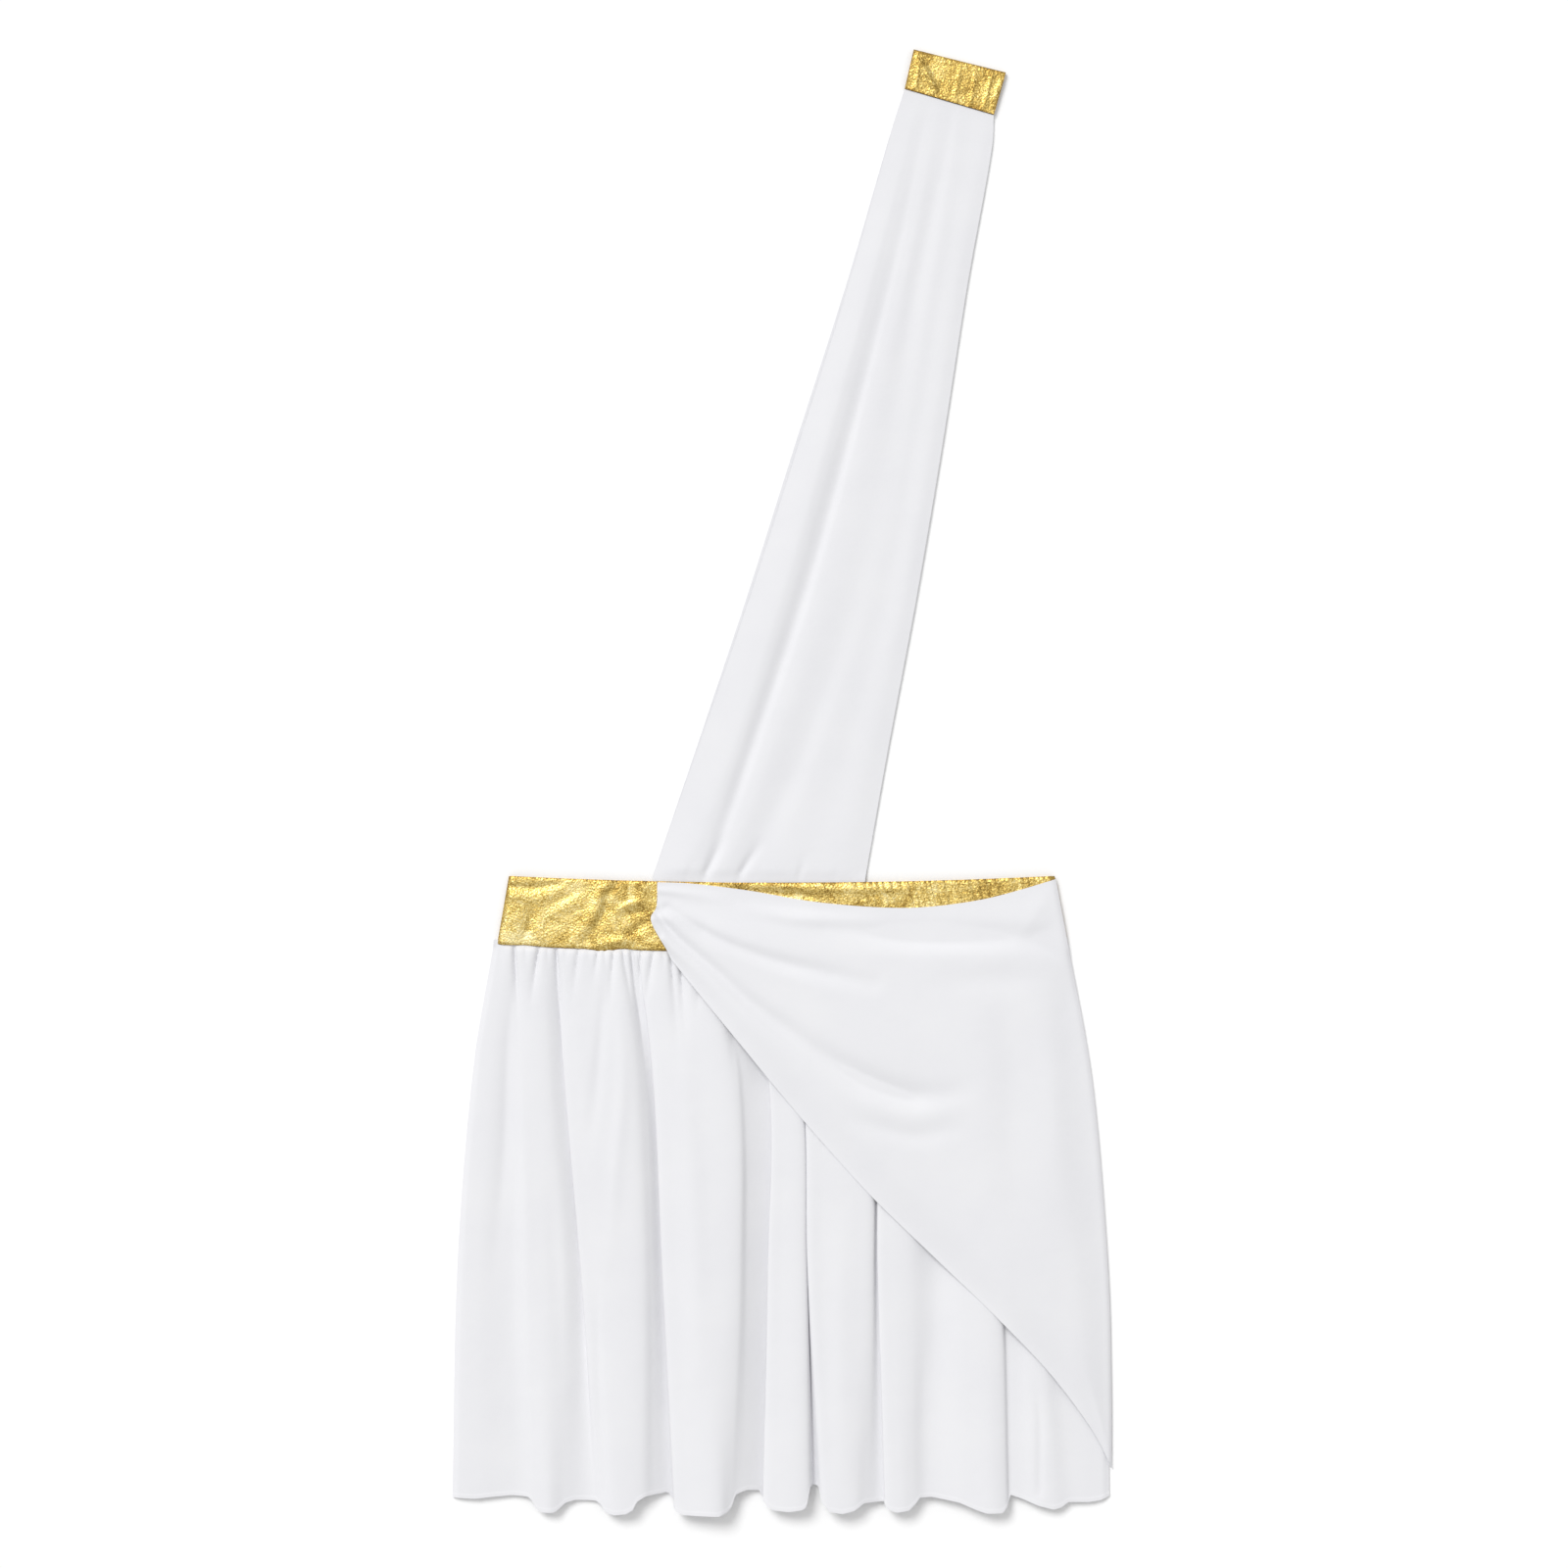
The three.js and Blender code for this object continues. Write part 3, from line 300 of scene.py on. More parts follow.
# Creases of the band, the strap, the drape and the shoulder band, as in the skirt's table
BAND_CREASES = (
    (-0.6, -0.7, -0.3, 2.4, 3.5, ((-201, 48.0), (-186, 47.0), (-172, 48.0), (-160, 51))),
    (0.4, 0.5, 0.2, 3.5, 4, ((-200, 41.5), (-187, 40), (-174, 41.5), (-162, 44.5))),
    (0.5, 0.7, 0.4, 7, 8, ((-197, 38), (-195, 30), (-199, 14))),
    (-0.3, -0.7, -0.3, 3, 4, ((-187, 33), (-184, 24), (-190, 8))),
    (0.4, 0.6, 0.2, 4, 5, ((-180, 22), (-176, 13), (-170, 5))),
    (-0.2, -0.5, -0.2, 3, 4, ((-170, 34), (-158, 41), (-147, 46))),
    (0.2, 0.4, 0.2, 4, 4, ((-169, 28), (-156, 35), (-146, 40))),
    (0.6, 1.1, 0.5, 5, 6,
     ((-127, 50), (-133, 42), (-136, 32), (-138, 25), (-143, 18), (-150, 10))),
    (-0.5, -0.9, -0.5, 3, 4,
     ((-122, 50), (-129, 40), (-130, 31), (-133.5, 24), (-140, 15), (-144, 9))),
    (-0.3, -0.6, -0.3, 12, 10, ((-112, 46), (-110, 28), (-104, 10))),
    (0.4, 0.9, 0.3, 2.6, 2.6, ((-119, 31.5), (-111, 35), (-102, 37.5))),
    (-0.3, -0.7, -0.3, 2.6, 3.4, ((-116, 27), (-108, 28), (-99, 30.5))),
    (0.6, 0.8, 0.3, 2.6, 3, ((-104, 50), (-100.5, 46), (-102, 42))),
    (-0.4, -0.7, -0.3, 3.5, 4, ((-113, 12), (-106, 17), (-97, 24))),
    (0.5, 1.1, 0.4, 3.5, 3, ((-132, 5), (-122, 7.5), (-112, 9))),
    (-0.6, -0.8, -0.3, 2.0, 2.4, ((-134, 1.5), (-122, 2.5), (-108, 3.5))),
    (-0.5, -0.9, -0.6, 3, 3, ((-60, 51), (-20, 44), (20, 41))),
    (0.4, 0.7, 0.4, 3, 3, ((-10, 49), (40, 46), (90, 46))),
)
STRAP_CREASES = (
    (-2.4, -1.6, 0, 1.7, 4.5, ((-59, 51), (-51.5, 66), (-41, 87))),
    (-2.6, -1.6, 0, 1.7, 4.5, ((-34, 51), (-26, 64), (-13, 84))),
    (-1.6, -0.6, 0, 1.6, 4, ((11, 50), (14, 60), (18, 74))),
    (-0.9, -0.3, 0, 1.4, 3, ((-72, 52), (-68, 60), (-64, 70))),
    (-0.8, -0.2, 0, 1.4, 3, ((38, 50), (40, 58), (42, 66))),
)
DRAPE_CREASES = (
    (-2.8, -2.9, -1.2, 3.2, 11,
     ((-92, 29), (-80, 14), (-46, -16), (-27, -34), (9, -61), (38, -81), (64, -95), (94, -105))),
    (0, -2.2, 0, 9, 8, ((20, -69), (64, -95), (94, -105), (124, -103), (147, -98))),
    (0, 0.3, 0, 6, 6, ((30, -96), (62, -110), (96, -118), (125, -115), (150, -107))),
    (0, -1.3, 0, 7, 7, ((40, -118), (75, -129), (98.8, -134), (138, -126))),
    (-1.6, -2.6, -0.8, 4, 7, ((-84, 33), (-55, 14), (-7, -6), (29, -15), (66, -23))),
    (0.8, 0.8, 0, 4, 11, ((-84, 35), (-40, 10), (5, -14), (48, -30))),
    (0.2, 1.8, 0, 5, 6, ((-27, 31), (6.7, 25.6), (44.8, 23.0), (78.7, 20.6))),
    (-0.6, -3.2, -1.8, 8, 9, ((36, 22), (70, 13), (125, 11), (174, 10.5), (204, 7))),
    (0, -0.9, 0, 10, 10, ((96, -24), (150, -20), (205, -18))),
    (-0.2, -1.4, -0.2, 13, 16, ((165, -2.9), (167, -92.9), (167, -236.9))),
    (0.2, 1.0, 0.2, 10, 12, ((192, -12), (198, -92.9), (204, -230))),
    (2.0, 1.2, 0, 3, 8, ((-90, 46), (-66, 44), (-34, 38))),
    (1.6, 1.2, 0, 4, 8, ((-93, 25), (-78, 24), (-58, 16))),
    (1.2, 0.6, 0, 3, 7, ((-87, 9), (-70, -8), (-48, -32))),
)
SHOULDER_CREASES = (
    (0.5, 0.8, 0.4, 1.6, 1.8, ((99.5, 656), (100, 646), (98, 635))),
    (0.8, 1.3, 0.7, 1.7, 2.1, ((101.5, 653), (107, 643), (112.5, 632))),
    (-0.3, -0.6, -0.3, 1.8, 2.2, ((107, 655), (113, 644), (118, 634))),
    (0.2, 0.4, 0.3, 1.4, 1.6, ((131, 649), (129, 638), (127, 626))),
    (0.2, 0.4, 0.3, 1.4, 1.6, ((142, 646), (140.5, 634), (138, 622))),
    (0.4, 0.7, 0.5, 1.4, 1.6, ((154, 643), (151, 632), (148.5, 620))),
    (0.3, 0.5, 0.3, 1.4, 1.6, ((161, 640), (157.5, 630), (154.5, 620))),
)

# Cells for the height of the cloth under the drape
RELIEF_CELL = 2.5
RELIEF_LIMITS = (-260.0, 260.0, -430.0, 90.0)
RELIEF_SHIFTS = (0.0, 0.25, 0.5, 0.75)
RELIEF_SPREAD = 9
RELIEF_BLUR = 7
RELIEF_SIDE_SPREAD = 4
RELIEF_SIDE_BLUR = 2

# Painted shade along the foil's borders, full up to the first distance and gone past the second, and the
# least darkening all over the shoulder band
BORDER_SHADE_FULL = 0.2
BORDER_SHADE_REACH = 1.5
SHOULDER_LEAST_DARKENING = 0.2

# Wrinkling of the foil, and its fine crumpling: pitch and height
BAND_CREASE_SHARE = 1.2
CRUMPLE_PITCH = 13.0
CRUMPLE_HEIGHT = 0.22
CRUMPLE_WAVES = 7
CRUMPLE_PITCH_LEAST = 0.6
CRUMPLE_PITCH_MOST = 1.8
CRUMPLE_BEND = 0.9
CRUMPLE_BEND_PITCH = 0.45
CRUMPLE_SEED = 4
SHOULDER_CRUMPLE_PITCH = 7.0
SHOULDER_CRUMPLE_HEIGHT = 0.4
SHOULDER_CRUMPLE_SEED = 9
PUCKER_PITCH = 6.1
PUCKER_HEIGHT = 0.55
PUCKER_START_X = -10.0
PUCKER_FULL_X = 60.0
PUCKER_LEAN = 0.25
PUCKER_SWAY = 0.9
PUCKER_SWAY_PITCH = 17
PUCKER_QUIVER = 0.4
PUCKER_QUIVER_PITCH = 6.3

# Samples along a curve, the least distance between its knots, and the sharpest smooth edge
CURVE_STEPS = 40
CREASE_POINTS = 41
LEAST_KNOT = 1e-6
SHARP_ANGLE = 60

# Floor, in metres, a hair below the cloth
FLOOR_HALF = 4.0
FLOOR_HEIGHT = -0.0003

# Camera straight above, with the photograph's width of view at the cloth
VIEW_WIDTH = 1.152
CAMERA_HEIGHT = 2.6
CAMERA_X = 0.0016
CAMERA_Y = -0.0016
SENSOR_WIDTH = 36.0
CLIP_END = 50

# Soft studio light all round, a broad key from the upper left, and a panel overhead
WORLD_STRENGTH = 0.58
KEY_STRENGTH = 1.85
KEY_SPREAD = 26
KEY_PLACE = (-1.25, 1.8, 2.4)
TOP_PLACE = (0.2, 0.3, 3.6)
TOP_SIZE = 2.2
TOP_POWER = 9


def smooth(value, low, high):
    """Share from 0 at low to 1 at high, eased at both ends."""
    t = np.clip((value - low) / (high - low), 0, 1)
    return t * t * (3 - 2 * t)


def lerp(a, b, t):
    return a + (b - a) * t


def through(places, values, at):
    """Values at places along the smooth line through known values at known places."""
    values = np.asarray(values, float)
    trailing = (1,) * (values.ndim - 1)
    places = np.asarray(places, float)
    at = np.asarray(at, float)
    last = len(places) - 1
    before = np.maximum(np.arange(last + 1) - 1, 0)
    after = np.minimum(np.arange(last + 1) + 1, last)
    slopes = (values[after] - values[before]) / (places[after] - places[before]).reshape(-1, *trailing)
    i = np.clip(np.searchsorted(places, at, side="left") - 1, 0, last - 1)
    span = (places[i + 1] - places[i]).reshape(*at.shape, *trailing)
    t = (at - places[i]).reshape(*at.shape, *trailing) / span
    ease = t * t * (3 - 2 * t)
    swing = t * (1 - t) * span * lerp(slopes[i], -slopes[i + 1], t)
    return lerp(values[i], values[i + 1], ease) + swing


def curve_at(points, places):
    """Points on the smooth curve through points, at places counted in spans from its start."""
    points = np.asarray(points, float)
    first = 2 * points[0] - points[1]
    last = 2 * points[-1] - points[-2]
    padded = np.vstack([first, points, last])
    places = np.asarray(places, float)
    i = np.clip(np.floor(places).astype(int), 0, len(points) - 2)
    t = (places - i)[:, None]
    p0, p1, p2, p3 = (padded[i + k] for k in range(4))
    knot = [np.maximum(np.linalg.norm(b - a, axis=1, keepdims=True) ** 0.5, LEAST_KNOT)
            for a, b in ((p0, p1), (p1, p2), (p2, p3))]
    m1 = ((p1 - p0) / knot[0] - (p2 - p0) / (knot[0] + knot[1]) + (p2 - p1) / knot[1]) * knot[1]
    m2 = ((p2 - p1) / knot[1] - (p3 - p1) / (knot[1] + knot[2]) + (p3 - p2) / knot[2]) * knot[1]
    c2 = -3 * p1 + 3 * p2 - 2 * m1 - m2
    c3 = 2 * p1 - 2 * p2 + m1 + m2
    return p1 + t * (m1 + t * (c2 + t * c3))


def curve_evenly(points, shares):
    """Points on the smooth curve through points, at shares of its length."""
    fine = curve_at(points, np.linspace(0, len(points) - 1, CURVE_STEPS * (len(points) - 1) + 1))
    steps = np.linalg.norm(np.diff(fine, axis=0), axis=1)
    lengths = np.concatenate([[0], np.cumsum(steps)])
    wanted = np.asarray(shares) * lengths[-1]
    return np.stack([np.interp(wanted, lengths, fine[:, k]) for k in range(fine.shape[1])], axis=1)


def crease_lift(creases, x, y):
    """Sum of the ridges and troughs at each place."""
    total = np.zeros_like(x)
    for start, middle, end, start_width, end_width, line in creases:
        shares = np.linspace(0, 1, CREASE_POINTS)
        points = curve_evenly(line, shares)
        nearest = np.full(x.shape, np.inf)
        along = np.zeros_like(x)
        for k in range(len(points) - 1):
            ax, ay = points[k]
            bx, by = points[k + 1]
            length_squared = (bx - ax) ** 2 + (by - ay) ** 2
            t = np.clip(((x - ax) * (bx - ax) + (y - ay) * (by - ay)) / length_squared, 0, 1)
            distance = np.hypot(x - ax - t * (bx - ax), y - ay - t * (by - ay))
            closer = distance < nearest
            nearest = np.where(closer, distance, nearest)
            along = np.where(closer, (k + t) / (len(points) - 1), along)
        height = through((0, 0.5, 1), (start, middle, end), along)
        width = lerp(start_width, end_width, along)
        total += height * np.exp(-((nearest / width) ** 2))
    return total


def crumple(x, y, pitch, seed):
    """Uneven soft ridges about one unit high, from waves in several directions."""
    rng = np.random.default_rng(seed)
    total = np.zeros_like(x)
    for _ in range(CRUMPLE_WAVES):
        angle = rng.uniform(0, math.pi)
        phase = rng.uniform(0, 2 * math.pi)
        wave = 2 * math.pi / (pitch * rng.uniform(CRUMPLE_PITCH_LEAST, CRUMPLE_PITCH_MOST))
        sideways = x * math.sin(angle) - y * math.cos(angle)
        bend = CRUMPLE_BEND * np.sin(wave * CRUMPLE_BEND_PITCH * sideways + phase)
        total += np.abs(np.sin(0.5 * wave * (x * math.cos(angle) + y * math.sin(angle)) + phase + bend))
    return total / CRUMPLE_WAVES


def normals_of(middle):
    across = np.gradient(middle, axis=1)
    down = np.gradient(middle, axis=0)
    normals = np.cross(down, across)
    return normals / np.linalg.norm(normals, axis=2, keepdims=True)


def faces_of(rows, columns):
    """Faces of a closed shell: upper grid, lower grid and the rim between them."""
    grid = np.arange(rows * columns).reshape(rows, columns)
    upper = np.stack([grid[:-1, :-1], grid[1:, :-1], grid[1:, 1:], grid[:-1, 1:]], axis=2)
    lower = upper[:, :, ::-1] + rows * columns
    loop = np.concatenate([grid[:, 0], grid[-1, 1:], grid[-2::-1, -1], grid[0, -2:0:-1]])
    following = np.roll(loop, -1)
    under = rows * columns
    rim = np.stack([loop, loop + under, following + under, following], axis=1)
    return np.concatenate([upper.reshape(-1, 4), lower.reshape(-1, 4), rim])


def shell(name, middle, thick, material, painted_edge_shade=None):
    """A closed cloth shell round a grid of middle points, riding on the frame's one body."""
    rows, columns = middle.shape[:2]
    offset = normals_of(middle) * (np.broadcast_to(thick, (rows, columns)) / 2)[:, :, None]
    points = np.concatenate([(middle + offset).reshape(-1, 3), (middle - offset).reshape(-1, 3)])
    points[:, 1] += WAIST_SEAM_FROM_ORIGIN
    mesh = bpy.data.meshes.new(name)
    mesh.from_pydata((points * MM).tolist(), [], faces_of(rows, columns).tolist())
    mesh.materials.append(material)
    # painted shade along the foil's borders, stored as a point attribute for the material
    if painted_edge_shade is not None:
        layer = mesh.attributes.new("painted_edge_shade", "FLOAT", "POINT")
        layer.data.foreach_set("value", np.tile(painted_edge_shade.reshape(-1), 2))
    mesh.shade_smooth()
    mesh.set_sharp_from_angle(angle=math.radians(SHARP_ANGLE))
    piece = bpy.data.objects.new(name, mesh)
    bpy.context.collection.objects.link(piece)
    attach(piece, "root")
    return piece


def waist_seam_y(x):
    return WAIST_SEAM_SIDE_RISE * (x / WAIST_SEAM_HALF_WIDTH) ** 2


def band_top_y(x):
    return BAND_HEIGHT + BAND_TOP_SIDE_RISE * (x / BAND_TOP_HALF_WIDTH) ** 2


def fold_sections(share):
    """X and height of every fold line at a share of the drop."""
    table = np.array([fold[1:] for fold in FRONT_FOLDS], float)
    levels = len(FOLD_PLACES)
    x = through(FOLD_PLACES, table[:, :levels].T, np.full(1, share))[0]
    z = through(FOLD_PLACES, table[:, levels:].T, np.full(1, share))[0]
    return np.stack([x, z], axis=1)


def fold_columns():
    """Places across the skirt, as fold numbers with a fraction, about FOLD_STEP apart."""
    sections = np.stack([fold_sections(share) for share in FOLD_PLACES])
    widths = np.linalg.norm(np.diff(sections, axis=1), axis=2).max(axis=0)
    places = [np.zeros(1)]
    for i, width in enumerate(widths):
        count = max(2, round(width / FOLD_STEP))
        places.append(i + np.arange(1, count + 1) / count)
    return np.concatenate(places)


def all_gathers():
    """The gathers that show, and like ones on to the other side of the waist."""
    gathers = list(GATHERS)
    x = GATHERS[-1][0]
    while x + GATHER_PITCH < WAIST_SEAM_HALF_WIDTH - GATHER_SIDE_FADE / 2:
        _, depth, reach, slant = GATHERS[len(gathers) % len(GATHERS)]
        x += GATHER_PITCH + GATHER_PITCH_CHANGE * math.sin(len(gathers) * GATHER_PITCH_TURN)
        gathers.append((x, depth, reach, slant))
    return gathers


def gather_lift(x, drop):
    """Puff below the waist seam, cut by the sharp small troughs of the gathers."""
    side = smooth(WAIST_SEAM_HALF_WIDTH - np.abs(x), 0, GATHER_SIDE_FADE)
    puff = (1 - np.exp(-drop / GATHER_PUFF_START)) * np.exp(-drop / GATHER_PUFF_REACH)
    lift = GATHER_PUFF * puff
    width = GATHER_WIDTH + GATHER_WIDENING * drop
    for place, depth, reach, slant in all_gathers():
        fade = GATHER_DEEPENING * depth * np.exp(-((drop / reach) ** 2))
        away = np.abs(x - place - slant * drop) / width
        lift = lift - fade * np.exp(-(away ** GATHER_SHARPNESS))
    return lift * side


def hem_thickness(drop):
    """Shell thickness by the drop, half as thick again where the hem is rolled."""
    inside = smooth(drop, SKIRT_DROP - ROLL_HEM - ROLL_HEM_STEP, SKIRT_DROP - ROLL_HEM)
    return CLOTH_THICK * (1 + HEM_ROLL_THICKENING * inside)


def skirt_drops(step):
    """Drops of the mesh rows: from inside the seam, close at the waist and at the hem."""
    waist_rows = int((WAIST_ROWS_DROP + SEAM_ALLOWANCE) / WAIST_ROW_STEP) + 1
    waist = np.linspace(-SEAM_ALLOWANCE, WAIST_ROWS_DROP, waist_rows)
    middle = np.arange(WAIST_ROWS_DROP + step, SKIRT_DROP - MIDDLE_ROWS_END, step)
    hem = np.linspace(SKIRT_DROP - HEM_ROWS_START, SKIRT_DROP, HEM_ROWS)
    return np.concatenate([waist, middle, hem])


def skirt_front_middle(drops):
    places = fold_columns()
    hem_x = curve_at(fold_sections(1), places)[:, 0]
    hem_y = np.interp(hem_x, *np.transpose(HEM_EDGE))
    rows = []
    for drop in drops:
        share = max(drop, 0) / SKIRT_DROP
        section = curve_at(fold_sections(share), places)
        x, z = section[:, 0], section[:, 1]
        seam = waist_seam_y(x)
        y = lerp(seam, hem_y, share) + max(-drop, 0)
        side = np.minimum(x - x[0], x[-1] - x)
        lie = lerp(FRONT_SIDE_MIDDLE, FRONT_MIDDLE, smooth(side, 0, SKIRT_SIDE_TURN))
        height = lie + z + gather_lift(x, max(drop, 0))
        height = height + crease_lift(SKIRT_CREASES, x, y) * smooth(side, 0, SKIRT_SIDE_TURN)
        height = np.maximum(height, skirt_back_middle(x, max(drop, 0)) + CLOTH_THICK + LAYER_GAP)
        sewn = smooth(drop, SEWN_DROP_START, FRONT_SEWN_DROP_END)
        rows.append(np.stack([x, y, lerp(FRONT_TUCKED_MIDDLE, height, sewn)], axis=1))
    return np.stack(rows)


def make_skirt_front(material):
    drops = skirt_drops(FRONT_ROW_STEP)
    middle = skirt_front_middle(drops)
    piece = shell("skirt_front_cloth", middle, hem_thickness(drops)[:, None], material)
    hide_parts("skirt_front")
    return middle


def back_fold_lift(x, share):
    growth = smooth(share, BACK_FOLD_START, 1)
    lift = np.zeros_like(x)
    for _, middle_x, hem_x, height, half_width in BACK_FOLDS:
        centre = hem_x - (hem_x - middle_x) / (1 - MIDDLE_PLACE) * (1 - share)
        away = np.clip((x - centre) / half_width, -1, 1)
        lift = lift + height * growth * np.cos(math.pi / 2 * away) ** 2
    return lift


def skirt_back_middle(x, drop):
    """Height of the middle of the back panel's cloth."""
    gathers = np.maximum(0, gather_lift(-x, drop)) * BACK_GATHER_SHARE
    return BACK_MIDDLE + back_fold_lift(x, drop / SKIRT_DROP) + gathers


def make_skirt_back(material):
    drops = skirt_drops(BACK_ROW_STEP)
    rows = []
    for drop in drops:
        share = max(drop, 0) / SKIRT_DROP
        section = fold_sections(share)
        across = np.linspace(0, 1, BACK_COLUMNS + 1)
        x = lerp(section[0, 0], section[-1, 0], across)
        hem_y = -lerp(BACK_HEM_MIDDLE_DROP, BACK_HEM_SIDE_DROP, (2 * across - 1) ** 2)
        y = lerp(waist_seam_y(x), hem_y, share) + max(-drop, 0)
        height = skirt_back_middle(x, max(drop, 0))
        sewn = smooth(drop, SEWN_DROP_START, BACK_SEWN_DROP_END)
        rows.append(np.stack([x, y, lerp(BACK_TUCKED_MIDDLE, height, sewn)], axis=1))
    piece = shell("skirt_back_cloth", np.stack(rows), CLOTH_THICK, material)
    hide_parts("skirt_back")


def band_grid(rows, columns):
    down_shares = np.linspace(0, 1, rows + 1)
    across_shares = np.linspace(0, 1, columns + 1)
    down, across = np.meshgrid(down_shares, across_shares, indexing="ij")
    half_width = lerp(BAND_TOP_HALF_WIDTH, WAIST_SEAM_HALF_WIDTH, down)
    x = lerp(-half_width, half_width, across)
    seam = waist_seam_y(x)
    for place, drop, width in BAND_SEAM_WAVES:
        seam = seam - drop * np.exp(-(((x - place) / width) ** 2))
    y = lerp(band_top_y(x), seam, down)
    side = np.minimum(x + half_width, half_width - x)
    edge = np.minimum(band_top_y(x) - y, y - seam)
    return x, y, side, edge


def band_relief(x, y, side):
    """Wrinkles and crumpling of the foil band, with upright puckers on the wearer's left."""
    leaning = x + PUCKER_LEAN * y
    sway = PUCKER_SWAY * np.sin(leaning / PUCKER_SWAY_PITCH)
    quiver = PUCKER_QUIVER * np.sin(leaning / PUCKER_QUIVER_PITCH)
    uneven = leaning / PUCKER_PITCH + sway + quiver
    puckers = PUCKER_HEIGHT * np.abs(np.sin(math.pi * uneven)) * smooth(x, PUCKER_START_X, PUCKER_FULL_X)
    crumpled = CRUMPLE_HEIGHT * crumple(x, y, CRUMPLE_PITCH, CRUMPLE_SEED)
    creased = BAND_CREASE_SHARE * crease_lift(BAND_CREASES, x, y)
    return (creased + crumpled + puckers) * smooth(side, 0, BAND_SIDE_TURN)


def quarter_turn(distance, reach):
    """Share of the full height at a distance in from a rounded edge."""
    t = np.clip(1 - distance / reach, 0, 1)
    return np.sqrt(1 - t * t)


def border_shade_share(from_edge):
    """Share of painted shade on the foil, from the distance to a border."""
    return 1 - smooth(from_edge, BORDER_SHADE_FULL, BORDER_SHADE_REACH)


def make_waistband_front(material):
    x, y, side, edge = band_grid(BAND_ROWS, BAND_COLUMNS)
    flat = BAND_FRONT_MIDDLE - BAND_EDGE_DROP * (1 - quarter_turn(edge, BAND_EDGE_TURN))
    z = lerp(BAND_SIDE_MIDDLE, flat + band_relief(x, y, side), quarter_turn(side, BAND_SIDE_TURN))
    middle = np.stack([x, y, z], axis=2)
    # the band's foil is painted darker along its borders: painted shade
    painted_edge_shade = border_shade_share(np.minimum(edge, side))
    piece = shell("waistband_front_foil", middle, BAND_THICK, material, painted_edge_shade)
    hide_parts("waistband_front")
    return middle


def make_waistband_back(material):
    x, y, side, edge = band_grid(BAND_BACK_ROWS, BAND_BACK_COLUMNS)
    middle = np.stack([x, y, np.full_like(x, BAND_BACK_MIDDLE)], axis=2)
    # the back band's foil is painted darker along its borders: painted shade
    painted_edge_shade = border_shade_share(np.minimum(edge, side))
    piece = shell("waistband_back_foil", middle, BAND_THICK, material, painted_edge_shade)
    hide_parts("waistband_back")


def strap_grid(rows, columns, left_show):
    """X and Y of the strap from its top down to its foot, and the shares down and across."""
    shares = np.linspace(0, 1, rows + 1)
    down, across = np.meshgrid(shares, np.linspace(0, 1, columns + 1), indexing="ij")
    sections = np.array(STRAP_SECTIONS, float)
    left_x, left_y, right_x, right_y = through(STRAP_PLACES, sections, 1 - shares).T
    left_x = left_x - left_show * np.sin(math.pi * shares)
    x = lerp(left_x[:, None], right_x[:, None], across)
    y = lerp(left_y[:, None], right_y[:, None], across)
    foot = smooth(down, 1 - STRAP_FOOT_ROWS / rows, 1)
    y = lerp(y, band_top_y(x) - SEAM_ALLOWANCE, foot)
    return x, y, down, across


def make_strap_back(material):
    x, y, down, across = strap_grid(STRAP_BACK_ROWS, STRAP_BACK_COLUMNS, STRAP_BACK_SHOW)
    to_top = down * STRAP_LENGTH
    to_foot = (1 - down) * STRAP_LENGTH
    at_foot = 1 - smooth(to_foot, STRAP_BACK_FOOT_START, STRAP_BACK_FOOT_END)
    at_top = 1 - smooth(to_top, STRAP_BACK_TOP_START, STRAP_BACK_TOP_END)
    z = BACK_MIDDLE + (BACK_TUCKED_MIDDLE - BACK_MIDDLE) * at_foot
    z = z + STRAP_BACK_TOP_LIFT * at_top
    piece = shell("strap_back_cloth", np.stack([x, y, z], axis=2), CLOTH_THICK, material)
    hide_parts("strap_back")


def strap_folds_at(down, across):
    """Height of the strap's long folds by the share of the way down and across."""
    table = np.array([fold[1:] for fold in STRAP_FOLDS], float)
    count = len(STRAP_FOLD_PLACES)
    heights = np.zeros_like(down)
    for i, share in enumerate(down[:, 0]):
        at = np.full(1, 1 - share)
        places = through(STRAP_FOLD_PLACES, table[:, :count].T, at)[0]
        levels = through(STRAP_FOLD_PLACES, table[:, count:].T, at)[0]
        heights[i] = through(places, levels, across[i])
    return heights


def make_strap_front(material):
    x, y, down, across = strap_grid(STRAP_ROWS, STRAP_COLUMNS, 0)
    ends = smooth(np.minimum(down, 1 - down), 0, STRAP_SEAM_REACH)
    lift = strap_folds_at(down, across) + crease_lift(STRAP_CREASES, x, y)
    folds = STRAP_FRONT_LIE + np.maximum(0, lift)
    seam = lerp(STRAP_TOP_MIDDLE, FRONT_TUCKED_MIDDLE, down)
    middle = np.stack([x, y, lerp(seam, folds, ends)], axis=2)
    piece = shell("strap_front_cloth", middle, CLOTH_THICK, material)
    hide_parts("strap_front")


